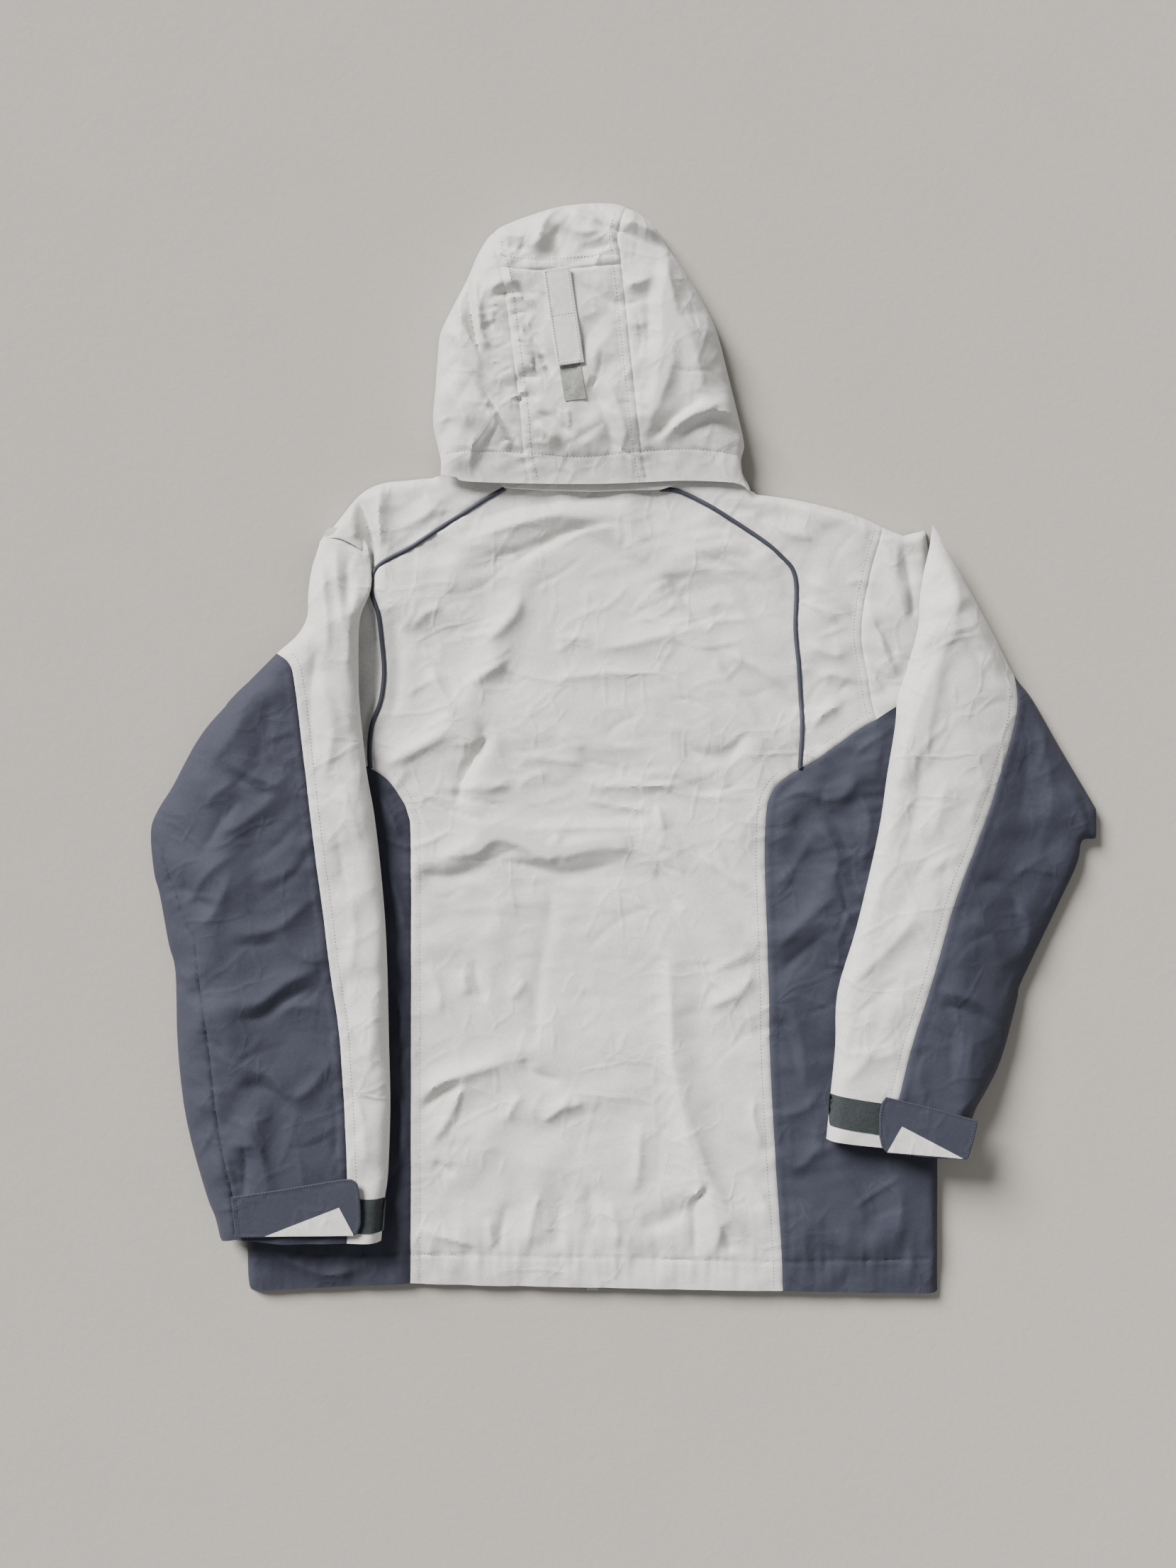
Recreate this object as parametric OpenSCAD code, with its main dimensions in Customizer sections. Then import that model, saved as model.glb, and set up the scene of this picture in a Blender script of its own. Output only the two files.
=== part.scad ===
// Hooded hardshell jacket, lying on its front with the hood up and the sleeves brought down
// beside the body. +Z is up, +Y runs from the hem to the hood, and the origin lies on the
// resting surface under the middle of the whole outline. Left and right are as seen from above.

/* [Fabric] */
// Thickness of the outer shell
shell_t = 2; // [1.6:0.1:2.2]
// Thickness of the lining
lining_t = 0.8; // [0.6:0.1:0.9]
// Free gap between neighbouring layers
gap = 0.3; // [0.2:0.05:0.4]

/* [Body] */
// Height of the flattened body
body_h = 19; // [18.5:0.25:20]
// Half of the hem width
hem_half_w = 310; // [308:1:310]
// Height of the turned-up hem
hem_fold = 25; // [15:1:35]
// Width of the piping between back panel and yokes
piping_w = 4; // [3:0.5:6]
// Height of the piping above the back panel
piping_h = 2.4; // [1:0.2:2.8]

/* [Sleeves] */
// Height of the gap floor under the sleeves, above the resting surface
sleeve_lift = 23; // [22.5:0.25:24]
// Height of the top of the sleeves
sleeve_top = 42; // [40:0.5:44]
// Height of a sleeve's top at its outermost point
sleeve_rim = 15; // [12:0.5:20]
// Depth of the turned-in cuff hem
cuff_fold = 22; // [12:1:30]
// Thickness of an adjustment tab
tab_t = 1.8; // [1.2:0.1:2.2]
// Thickness of a hook or loop patch
patch_t = 0.9; // [0.6:0.1:1]

/* [Hood] */
// Height of the hood
hood_h = 41; // [38:0.5:44]
// Height of the hood's lower edge, where it meets the neck
hood_neck_h = 24; // [23.5:0.25:26]
// Length of the volume tab
hood_tab_l = 86; // [70:1:90]
// Width of the volume tab
hood_tab_w = 24; // [18:1:28]

/* [Zips] */
// Length of a hand pocket's zip
pocket_zip_l = 170; // [140:5:180]
// Width of the slot that a zip shows in
zip_slot_w = 14; // [12:1:16]
// Length of a zip slider
slider_l = 14; // [12:1:16]
// Length of the front zip's pull
pull_l = 30; // [20:1:36]
// Length of a pocket zip's pull
pocket_pull_l = 22; // [18:1:22]

/* [Hidden] */

light = [0.80, 0.81, 0.80];
navy = [0.30, 0.32, 0.38];
trim = [0.27, 0.29, 0.34];
mesh_grey = [0.45, 0.47, 0.50];
loop_green = [0.26, 0.30, 0.32];
loop_grey = [0.60, 0.61, 0.59];
metal = [0.35, 0.36, 0.38];

far = 700;

// ---- levels ----
back_z = body_h - shell_t;
back_lining_z = back_z - gap - lining_t;
front_lining_z = 7.4;
tape_z = 4.5;
tape_t = 0.6;
coil_z = 3.7;
coil_h = 2.2;
plate_t = 0.8;
slider_front_z = coil_z - gap - plate_t;
slider_back_z = coil_z + coil_h + gap;
pull_axis_z = 1.75;
loop_z = sleeve_top;
hook_z = loop_z + patch_t + gap;
tab_z = hook_z + patch_t;

// ---- body ----
body_x = -29;
body_left = body_x - hem_half_w;
body_right = body_x + hem_half_w;
hem_y = -484;
armpit_y = -45;
front_strip_w = 40;

// ---- outlines, from the neck or shoulder down ----
neck_line = [[-107, 232], [-68, 230], [-29, 229], [2, 230], [32, 231]];
piping_line_left = [[-107, 232], [-127, 221], [-158, 201], [-190, 180], [-222, 161], [-226, 140],
  [-220, 120], [-217, 95], [-215, 68], [-218, 42], [-226, 20], [-228, -4], [-227, -18]];
piping_line_right = [[32, 231], [49, 229], [78, 214], [121, 186], [141, 169], [150, 158],
  [153, 141], [152, 107], [155, 74], [157, 45], [158, 20], [156, -18]];
side_seam_left = [[-227, -18], [-212, -28], [-201, -43], [-194, -58], [-191, -90], [-191, -266],
  [-191, -400], [-192, hem_y + 5]];
side_seam_right = [[156, -18], [141, -28], [131, -40], [126, -59], [125, -110], [128, -207],
  [130, -290], [135, -377], [140, -456], [141, hem_y]];
underarm_left = [[-227, -18], [-241, -10], [-262, 4], [-282, 16], [-300, 22]];
underarm_right = [[156, -18], [170, -11], [191, 4], [211, 18], [225, 26], [240, 36], [272, 50]];
armhole_left = [[-271, 188], [-268, 150], [-265, 110], [-267, 70], [-275, 35], [-282, 16]];
armhole_right = [[231, 200], [221, 165], [213, 127], [211, 98], [216, 69], [221, 40], [225, 26]];
shoulder_left = [[-107, 232], [-165, 243], [-219, 238], [-238, 228], [-258, 204], [-271, 188]];
shoulder_right = [[32, 231], [75, 233], [112, 229], [155, 223], [203, 211], [242, 196],
  [262, 187]];
head_left = [[-271, 188], [-275, 160], [-278, 118], [-286, 92], [-302, 50], [-320, 5],
  [body_left, armpit_y]];
head_right = [[262, 187], [270, 172], [274, 140], [275, 100], [277, 50], [279, 0],
  [body_right, armpit_y]];
hem_line = [[body_left + 1, hem_y + 20], [body_left + 4, hem_y - 2], [-192, hem_y + 5],
  [body_x, hem_y + 2], [141, hem_y], [262, -488], [body_right - 1, hem_y + 4]];

function rev(l) = [for (i = [len(l) - 1 : -1 : 0]) l[i]];
function tail(l) = [for (i = [1 : len(l) - 1]) l[i]];
function first(l, n) = [for (i = [0 : n - 1]) l[i]];
function move_x(l, d) = [for (p = l) [p[0] + d, p[1]]];
function spline(a, b, c, d, t) =
  0.5 * (2 * b + (c - a) * t + (2 * a - 5 * b + 4 * c - d) * t * t
  + (3 * b - a - 3 * c + d) * t * t * t);
// A smooth open line through every point of l, with n steps between two points
function smooth(l, n = 2) = let (e = len(l) - 1) [
  for (i = [0 : e - 1], k = [0 : n - 1])
    spline(l[max(i - 1, 0)], l[i], l[i + 1], l[min(i + 2, e)], k / n),
  l[e]
];
function unit(v) = v / max(norm(v), 0.0001);
function normal_at(l, i) = let (
    e = len(l) - 1, d = unit(l[min(i + 1, e)] - l[max(i - 1, 0)])) [-d[1], d[0]];
// The closed band of width w along an open line
function band(l, w) = concat(
  [for (i = [0 : len(l) - 1]) l[i] + normal_at(l, i) * w / 2],
  rev([for (i = [0 : len(l) - 1]) l[i] - normal_at(l, i) * w / 2]));
// A closed clockwise outline moved inwards by d
function inset(l, d) = let (n = len(l)) [
  for (i = [0 : n - 1]) let (v = unit(l[(i + 1) % n] - l[(i + n - 1) % n]))
    l[i] + [v[1], -v[0]] * d
];

neck = smooth(neck_line);
pipe_l = smooth(piping_line_left);
pipe_r = smooth(piping_line_right);
seam_l = smooth(side_seam_left);
seam_r = smooth(side_seam_right);
arm_l = smooth(armhole_left);
arm_r = smooth(armhole_right);
torso_left = concat(smooth(shoulder_left), tail(smooth(head_left)));
torso_right = concat(smooth(shoulder_right), tail(smooth(head_right)));
torso = concat(neck, tail(torso_right), rev(hem_line), rev(tail(torso_left)));

module slab(l, z, t) translate([0, 0, z]) linear_extrude(t) polygon(l);
// A prism along Y whose section is drawn in X and Z
module along_y(section) translate([0, far, 0]) rotate([90, 0, 0]) linear_extrude(2 * far)
  polygon(section);
// A prism along X whose section is drawn in Y and Z
module along_x(section) translate([-far, 0, 0]) rotate([90, 0, 90]) linear_extrude(2 * far)
  polygon(section);

// ---- back of the body ----
module back_panel() color(light) slab(
  concat(neck, tail(pipe_r), tail(seam_r), [[body_x, hem_y + 2]], rev(seam_l),
    rev(tail(pipe_l))), back_z, shell_t);

module back_yoke_left() color(light) slab(
  concat(pipe_l, first(tail(underarm_left), 2), rev(arm_l), tail(rev(smooth(shoulder_left)))),
  back_z, shell_t);

module back_yoke_right() color(light) slab(
  concat(pipe_r, first(tail(underarm_right), 3), rev(arm_r), [[203, 211], [155, 223], [112, 229],
    [75, 233], [49, 232]]), back_z, shell_t);

// Sleeve cap between the armhole seam and the fold of the sleeve
module sleeve_head_left() color(light) slab(
  concat(arm_l, [[-300, 22]], rev(first(tail(head_left), 3))), back_z, shell_t);
module sleeve_head_right() color(light) slab(
  concat(arm_r, [[240, 36], [276, 52]], rev(first(head_right, 4)), [[242, 196]]),
  back_z, shell_t);

// A side panel wraps from the back, round the edge of the body, to the front
module side_panel(seam, underarm, edge, edge_x, inward) color(navy) {
  slab(concat(seam, [edge[len(edge) - 1]], rev(edge), rev(tail(underarm))), back_z, shell_t);
  slab(concat(edge, rev(move_x(edge, inward * shell_t))), 0, body_h);
  slab([[edge_x, armpit_y], [edge_x + inward * front_strip_w, armpit_y],
    [edge_x + inward * front_strip_w, hem_y + 3], [edge_x, hem_y + 3]], 0, shell_t);
}
edge_left = [[body_left, armpit_y], [body_left - 1, -200], [body_left, -440],
  [body_left + 2, hem_y + 2]];
edge_right = [[body_right, armpit_y], [body_right, -360], [body_right, hem_y + 2]];
module side_panel_left() side_panel(seam_l,
  concat(underarm_left, [[-320, 5]]), edge_left, body_left, 1);
module side_panel_right() side_panel(seam_r,
  underarm_right, edge_right, body_right, -1);

module piping(line) color(trim) slab(band(line, piping_w), body_h, piping_h);
module piping_left() piping(tail(tail(pipe_l)));
module piping_right() piping(tail(tail(tail(pipe_r))));

// ---- front of the body ----
pocket_left = [-236, -250];
pocket_right = [178, -250];
pocket_tilt = 12;
front_neck = [[-107, 232], [-92, 205], [-66, 188], [body_x, 184], [8, 188], [34, 205], [52, 231]];
collar_top = 288;
collar_left = -118;
collar_right = 60;

module at_pocket(place, side) translate([place[0], place[1], 0])
  rotate([0, 0, side * pocket_tilt]) children();

module front_panel(side, place) color(navy) difference() {
  intersection() {
    slab(torso, 0, shell_t);
    translate([side < 0 ? -far : body_x + zip_slot_w / 2, -far, -1])
      cube([far + (side < 0 ? body_x - zip_slot_w / 2 : 0), 2 * far, 9]);
  }
  translate([0, 0, -1]) linear_extrude(9) union() {
    polygon(concat([[collar_left - 4, 300]], smooth(front_neck), [[collar_right + 4, 300]]));
    translate([side < 0 ? body_left - 9 : body_right - front_strip_w - gap, -far])
      square([front_strip_w + 9 + gap, far + armpit_y + gap]);
  }
  at_pocket(place, side) translate([-zip_slot_w / 2, -pocket_zip_l / 2, -1])
    cube([zip_slot_w, pocket_zip_l, 9]);
}
module front_panel_left() front_panel(-1, pocket_left);
module front_panel_right() front_panel(1, pocket_right);

// ---- lining and hem ----
lining_top = 214;
module lining_area() intersection() {
  polygon(inset(torso, shell_t + 4));
  translate([-far, hem_y + hem_fold]) square([2 * far, lining_top - hem_y - hem_fold]);
}
module back_lining() color(mesh_grey) translate([0, 0, back_lining_z]) linear_extrude(lining_t)
  lining_area();
module front_lining() color(mesh_grey) translate([0, 0, front_lining_z])
  linear_extrude(lining_t) difference() {
    lining_area();
    translate([body_x - guard_w / 2 - gap, -far]) square([guard_w + 2 * gap, 2 * far]);
    polygon(concat([[collar_left - 4, 300]], front_neck, [[collar_right + 4, 300]]));
  }
module hem_facing() color(navy) {
  translate([body_left + 8, hem_y + 7, back_lining_z])
    cube([2 * hem_half_w - 16, hem_fold - 8, lining_t]);
  for (x = [body_left + 8, body_x + guard_w / 2])
    translate([x, hem_y + 7, shell_t + gap])
      cube([hem_half_w - guard_w / 2 - 8, hem_fold - 8, lining_t]);
}

// ---- collar: a flattened band that stands inside the hood ----
collar_wall_y = 250;
module collar_ring(t) {
  translate([collar_left + t, 233, body_h - t - shell_t])
    cube([collar_right - collar_left - 2 * t, collar_top - 233, shell_t]);
  for (x = [collar_left + t, collar_right - t - shell_t])
    translate([x, collar_wall_y, t]) cube([shell_t, collar_top - collar_wall_y, body_h - 2 * t]);
}
module collar_front(grow, z, t, top) translate([0, 0, z]) linear_extrude(t) difference() {
  polygon(concat([[collar_left + grow, top]], [[collar_left + grow, 246]],
    [for (p = smooth(front_neck)) [p[0] * 0.98, p[1] + gap + grow]],
    [[collar_right - grow, 246], [collar_right - grow, top]]));
  translate([body_x - zip_slot_w / 2 - grow, 0]) square([zip_slot_w + 2 * grow, far]);
}
module collar_outer() color(light) {
  collar_ring(0);
  collar_front(0, 0, shell_t, collar_top);
}
module collar_lining() color(mesh_grey) {
  translate([collar_left + 6, 234, back_z - gap - lining_t])
    cube([collar_right - collar_left - 12, collar_top - 236, lining_t]);
  translate([0, 0, front_lining_z]) linear_extrude(lining_t) difference() {
    polygon(concat([[collar_left + 6, collar_top - 2], [collar_left + 6, 246]],
      [for (p = front_neck) [p[0] * 0.94, p[1] + 2]],
      [[collar_right - 6, 246], [collar_right - 6, collar_top - 2]]));
    translate([body_x - guard_w / 2 - gap, 0]) square([guard_w + 2 * gap, far]);
  }
}
loop_w = 60;
loop_strap = 6;
loop_foot = 4;
loop_low_z = 9.2;
module hanger_loop() color(trim) translate([body_x - loop_w / 2, 222, loop_low_z]) {
  cube([loop_w, loop_strap, 1]);
  for (x = [0, loop_w - loop_foot])
    translate([x, 0, 0]) cube([loop_foot, loop_strap, back_lining_z + lining_t - loop_low_z]);
}

// ---- zips: tape and coil, stops, sliders and pulls ----
guard_w = 56;
tape_w = 21;
coil_in = 0.7;
coil_w = 2.6;
zip_bottom = -478;
zip_top = 282;
slider_y = 262;
pull_w = 5.2;
pull_t = 0.9;

module zip_half(side, length, tape) {
  color(trim) translate([side > 0 ? coil_in + 1 : -tape, 0, tape_z])
    cube([tape - coil_in - 1, length, tape_t]);
  color(trim) translate([side > 0 ? coil_in : -coil_in - coil_w, 0, coil_z])
    cube([coil_w, length, coil_h]);
}
module zip_left() translate([body_x, zip_bottom, 0]) zip_half(-1, zip_top - zip_bottom, tape_w);
module zip_right() translate([body_x, zip_bottom, 0]) zip_half(1, zip_top - zip_bottom, tape_w);

// Top stops, the box at the bottom and the pin that plugs into it
module zip_stops() color(metal) translate([body_x, 0, 0]) {
  for (s = [-1, 1]) translate([s * 2.2 - 1.2, zip_top + gap, coil_z - 0.2]) cube([2.4, 4, 2.6]);
  translate([-5, zip_bottom - 8, coil_z - 0.6]) cube([10, 8 - gap, coil_h + 1.2]);
}
// Wind guard sewn behind the zip
module zip_guard() color(navy)
  translate([body_x - guard_w / 2, hem_y + 8, front_lining_z])
    cube([guard_w, collar_top - hem_y - 12, 1]);

// The slider holds both rows between two plates; an arch under it holds the pull
module slider() color(metal) {
  for (z = [slider_front_z, slider_back_z])
    translate([0, 0, z]) linear_extrude(plate_t)
      polygon([[-4.6, -slider_l / 2 + 2], [-3.4, -slider_l / 2], [3.4, -slider_l / 2],
        [4.6, -slider_l / 2 + 2], [5.2, slider_l / 2 - 2], [4, slider_l / 2],
        [-4, slider_l / 2], [-5.2, slider_l / 2 - 2]]);
  translate([-0.4, slider_l / 2 - 4, slider_front_z + 0.1])
    cube([0.8, 3.6, slider_back_z - slider_front_z]);
  difference() {
    translate([-1, -3, 0.4]) cube([2, 6, slider_front_z - 0.2]);
    translate([-2, -1.6, 1]) cube([4, 3.2, slider_front_z - 1]);
  }
}
// A crossbar under the arch, two arms and a flat grip
module pull(l) color(metal) translate([0, 0, pull_axis_z]) {
  translate([-pull_w / 2, 0, 0]) rotate([0, 90, 0])
    cylinder(r = pull_t / 2, h = pull_w, $fn = 24);
  for (x = [-pull_w / 2, pull_w / 2 - 1.2]) translate([x, -7, -pull_t / 2])
    cube([1.2, 7, pull_t]);
  translate([0, 0, -pull_t / 2]) linear_extrude(pull_t) polygon([[-2.6, -6], [2.6, -6],
    [3.4, -9], [3.4, -l + 2], [2, -l], [-2, -l], [-3.4, -l + 2], [-3.4, -9]]);
}
module zip_slider() translate([body_x, slider_y, 0]) slider();
module zip_pull() translate([body_x, slider_y, 0]) pull(pull_l);

module pocket_zip(place, side) at_pocket(place, side)
  translate([0, -pocket_zip_l / 2 + 1, 0]) for (s = [-1, 1])
    zip_half(s, pocket_zip_l - 2, zip_slot_w / 2 + 4);
module pocket_zip_left() pocket_zip(pocket_left, -1);
module pocket_zip_right() pocket_zip(pocket_right, 1);

pocket_slider_at = pocket_zip_l / 2 - slider_l / 2 - 3;
module pocket_slider_left() at_pocket(pocket_left, -1) translate([0, pocket_slider_at, 0])
  slider();
module pocket_slider_right() at_pocket(pocket_right, 1) translate([0, pocket_slider_at, 0])
  slider();
module pocket_pull_left() at_pocket(pocket_left, -1) translate([0, pocket_slider_at, 0])
  pull(pocket_pull_l);
module pocket_pull_right() at_pocket(pocket_right, 1) translate([0, pocket_slider_at, 0])
  pull(pocket_pull_l);

// A closed pocket bag between the front panel and the lining
bag_w = 130;
bag_l = 190;
bag_h = 4.2;
module pocket_bag(place, side) color(mesh_grey) difference() {
  translate([place[0] + (side < 0 ? 34 : -34 - bag_w), place[1] - bag_l / 2, shell_t + gap])
    cube([bag_w, bag_l, bag_h]);
  translate([place[0] + (side < 0 ? 34 : -34 - bag_w) + 1, place[1] - bag_l / 2 + 1,
    shell_t + gap + 0.8]) cube([bag_w - 2, bag_l - 2, bag_h - 1.6]);
}
module pocket_bag_left() pocket_bag(pocket_left, -1);
module pocket_bag_right() pocket_bag(pocket_right, 1);

// ---- sleeves: flattened tubes that lie partly on the body and partly beside it ----
step_gap = 3;
outer_left = [[-272, 184], [-279, 140], [-282, 117], [-291, 100], [-309, 84], [-335, 58],
  [-366, 28], [-381, 9], [-398, -24], [-414, -50], [-423, -75], [-421, -112], [-409, -175],
  [-401, -220], [-400, -266], [-392, -333], [-374, -398], [-362, -438]];
inner_left = [[-228, 168], [-226, 142], [-235, 113], [-236, 70], [-235, 37], [-229, -20],
  [-222, -60], [-215, -123], [-211, -182], [-209, -266], [-208, -320], [-210, -377],
  [-213, -400], [-216, -436]];
outer_right = [[275, 196], [288, 172], [324, 112], [348, 66], [364, 45], [388, 3], [412, -37],
  [423, -66], [411, -95], [386, -144], [364, -190], [352, -218], [337, -277], [320, -312],
  [310, -330], [301, -360]];
inner_right = [[273, 196], [271, 182], [264, 153], [260, 127], [260, 107], [249, 69], [241, 49],
  [240, 20], [232, -23], [224, -76], [205, -158], [188, -216], [186, -263], [182, -304],
  [178, -344]];
stripe_line_left = [[-312, 90], [-296, 77], [-291, 55], [-284, -3], [-272, -103], [-259, -203],
  [-249, -289], [-245, -375], [-245, -460]];
stripe_line_right = [[360, 75], [349, 55], [347, 37], [341, 6], [324, -47], [311, -81],
  [291, -132], [275, -187], [265, -221], [249, -273], [235, -330], [228, -380]];

// Section of a sleeve in X and Z, t inside its outer face
function section_left(t) = let (step = body_left - 1 - step_gap, knee = step - 2) [
  [-460, t], [step - t, t], [step - t, sleeve_lift + t], [-180, sleeve_lift + t],
  [-180, sleeve_top - t], [knee, sleeve_top - t],
  [-460, sleeve_top - t + (sleeve_rim - sleeve_top) * (knee + 460) / (knee + 423)]];
function section_right(t) = let (step = body_right + step_gap, knee = 312) [
  [460, t], [step + t, t], [step + t, sleeve_lift + t], [150, sleeve_lift + t],
  [150, sleeve_top - t], [knee, sleeve_top - t],
  [460, sleeve_top - t + (sleeve_rim - sleeve_top) * (460 - knee) / (423 - knee)]];
// The half of the section above the middle layer
upper_left = [[-460, 2], [body_left - 9, 30], [-180, 33], [-180, 90], [-460, 90]];
upper_right = [[460, 2], [body_right + 9, 30], [150, 33], [150, 90], [460, 90]];

// The filled form of a sleeve, t inside its outer face, and open_end longer at both ends
module sleeve_form(outer, inner, section, side, t, open_end) intersection() {
  linear_extrude(90) polygon(let (
      o = move_x(smooth(t > 0 ? tail(outer) : outer), -side * t),
      i = move_x(smooth(t > 0 ? tail(inner) : inner), side * t),
      e = len(o) - 1, f = len(i) - 1, up = [0, open_end]) concat(
    open_end > 0 ? [o[0] + up] : [], o, open_end > 0 ? [o[e] - up] : [],
    open_end > 0 ? [i[f] - up] : [], rev(i), open_end > 0 ? [i[0] + up] : []));
  along_y(section);
}
module tube_left(t0, t1) difference() {
  sleeve_form(outer_left, inner_left, section_left(t0), -1, t0, 0);
  sleeve_form(outer_left, inner_left, section_left(t1), -1, t1, 40);
}
module tube_right(t0, t1) difference() {
  sleeve_form(outer_right, inner_right, section_right(t0), 1, t0, 0);
  sleeve_form(outer_right, inner_right, section_right(t1), 1, t1, 40);
}
module stripe_side_left() linear_extrude(90)
  polygon(concat(stripe_line_left, [[-150, -460], [-150, 260], [-312, 260]]));
module stripe_side_right() linear_extrude(90)
  polygon(concat(stripe_line_right, [[100, -380], [100, 260], [360, 260]]));

module sleeve_stripe_left() color(light) intersection() {
  tube_left(0, shell_t);
  along_y(upper_left);
  stripe_side_left();
}
module sleeve_outer_left() color(navy) difference() {
  intersection() {
    tube_left(0, shell_t);
    along_y(upper_left);
  }
  stripe_side_left();
}
module sleeve_under_left() color(navy) difference() {
  tube_left(0, shell_t);
  along_y(upper_left);
}
module sleeve_stripe_right() color(light) intersection() {
  tube_right(0, shell_t);
  along_y(upper_right);
  stripe_side_right();
}
module sleeve_outer_right() color(navy) difference() {
  intersection() {
    tube_right(0, shell_t);
    along_y(upper_right);
  }
  stripe_side_right();
}
module sleeve_under_right() color(navy) difference() {
  tube_right(0, shell_t);
  along_y(upper_right);
}

// Linings stop at the turned-in cuff, whose facing takes their place
lining_in = shell_t + gap;
cuff_left_y = -436 + cuff_fold;
cuff_right_y = -344 + cuff_fold;
module below(y) translate([-far, y - far, -1]) cube([2 * far, far, 99]);
module sleeve_lining_left() color(mesh_grey) difference() {
  tube_left(lining_in, lining_in + lining_t);
  below(cuff_left_y);
  translate([-far, 150, -1]) cube([2 * far, far, 99]);
}
module sleeve_lining_right() color(mesh_grey) difference() {
  tube_right(lining_in, lining_in + lining_t);
  below(cuff_right_y);
  translate([-far, 150, -1]) cube([2 * far, far, 99]);
}
module cuff_facing_left() color(light) intersection() {
  tube_left(lining_in, lining_in + lining_t);
  below(cuff_left_y - gap);
}
module cuff_facing_right() color(light) intersection() {
  tube_right(lining_in, lining_in + lining_t);
  below(cuff_right_y - gap);
}

// ---- cuff tabs: sewn in at the outer seam, pressed onto a loop patch ----
tab_left = [[-346, -394], [-247, -378], [-239, -378], [-235, -382], [-233, -390], [-232, -412],
  [-233, -422], [-237, -427], [-254, -428], [-342, -430]];
accent_left = [[-314, -428], [-251, -403], [-238, -426.5]];
tab_right = [[228, -306], [309, -326], [300, -361], [262, -359], [224, -354], [222, -345],
  [222, -322], [224, -312]];
accent_right = [[227, -353.6], [242, -331], [292, -360]];

module cuff_tab(outline, accent) color(navy) difference() {
  slab(outline, tab_z, tab_t);
  slab(accent, tab_z - 1, tab_t + 2);
}
module cuff_tab_left() cuff_tab(tab_left, accent_left);
module cuff_tab_right() cuff_tab(tab_right, accent_right);
module cuff_accent_left() color(light) slab(accent_left, tab_z, tab_t);
module cuff_accent_right() color(light) slab(accent_right, tab_z, tab_t);
module cuff_loop_left() color(loop_green) slab([[-285, -398], [-214, -398], [-216, -426],
  [-285, -426]], loop_z, patch_t);
module cuff_loop_right() color(loop_green) slab([[181, -305], [253, -318], [251, -344],
  [181, -333]], loop_z, patch_t);
module cuff_hook_left() color(loop_green) slab([[-278, -389], [-242, -384], [-240, -420],
  [-278, -422]], hook_z, patch_t);
module cuff_hook_right() color(loop_green) slab([[230, -313], [262, -321], [258, -350],
  [229, -346]], hook_z, patch_t);

// ---- hood: a domed shell, open below, whose lower edge is hinged at the neck ----
hood_fold_y = 234;
hood_rim_y = 304;
hood_bottom_y = 248;
hood_line = [[-164, 236], [-165, 258], [-172, 290], [-170, 323], [-168, 351], [-164, 375],
  [-150, 403], [-140, 423], [-131, 444], [-118, 462], [-99, 473], [-72, 481], [-46, 486],
  [-14, 488], [6, 482], [26, 468], [38, 450], [53, 427], [68, 403], [82, 375], [92, 338],
  [101, 301], [106, 273], [103, 256], [106, 236]];
hood_seam_left = [[-112, 500], [-117, 455], [-105, 355], [-96, 290], [-94, 200]];
hood_seam_right = [[1, 500], [-6, 450], [-4, 425], [2, 355], [8, 312], [14, 262], [22, 200]];
crown_y = 421;
band_y = 260;
face_line = [[-128, 200], [-132, 330], [-112, 372], [-70, 396], [-28, 402], [14, 394],
  [50, 368], [66, 330], [66, 200]];

function hood_section(t, low) = [[low, t], [low, hood_neck_h - 6 - t], [234, hood_neck_h - t],
  [262, hood_h - 7 - t], [300, hood_h - t], [436, hood_h - t], [470, hood_h - 9 - t],
  [495, hood_h - 24 - t], [495, t]];
module hood_form(t, low) intersection() {
  linear_extrude(90) polygon(concat([[hood_line[0][0] + t, low]],
    inset(smooth(hood_line), t), [[hood_line[len(hood_line) - 1][0] - t, low]]));
  along_x(hood_section(t, low));
}
module hood_shell(t0, t1) difference() {
  hood_form(t0, 236);
  hood_form(t1, 200);
  translate([0, 0, -1]) linear_extrude(9) polygon(smooth(face_line, 3));
  translate([-far, 0, -1]) cube([2 * far, hood_rim_y, t1 + 1.01]);
  translate([-far, 0, -1]) cube([2 * far, hood_bottom_y, hood_neck_h - 2]);
}
module strip_y(y0, y1) translate([-far, y0, -1]) cube([2 * far, y1 - y0, 99]);
module between_seams() linear_extrude(90)
  polygon(concat(hood_seam_left, rev(hood_seam_right)));
module hood_centre() color(light) intersection() {
  hood_shell(0, shell_t);
  between_seams();
  strip_y(band_y, crown_y);
  translate([-far, 0, 12]) cube([2 * far, far, 90]);
}
module hood_crown() color(light) intersection() {
  hood_shell(0, shell_t);
  between_seams();
  strip_y(crown_y, 520);
}
module hood_side_left() color(light) intersection() {
  hood_shell(0, shell_t);
  strip_y(band_y, 520);
  linear_extrude(90) polygon(concat(hood_seam_left, [[-300, 200], [-300, 500]]));
}
module hood_side_right() color(light) intersection() {
  hood_shell(0, shell_t);
  strip_y(band_y, 520);
  linear_extrude(90) polygon(concat(hood_seam_right, [[300, 200], [300, 500]]));
}
module hood_band() color(light) intersection() {
  hood_shell(0, shell_t);
  strip_y(200, band_y);
}
module hood_lining() color(mesh_grey) difference() {
  hood_shell(lining_in, lining_in + lining_t);
  translate([-far, 0, -1]) cube([2 * far, band_y, 99]);
  translate([-far, 0, -1]) cube([2 * far, far, 5]);
}

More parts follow.
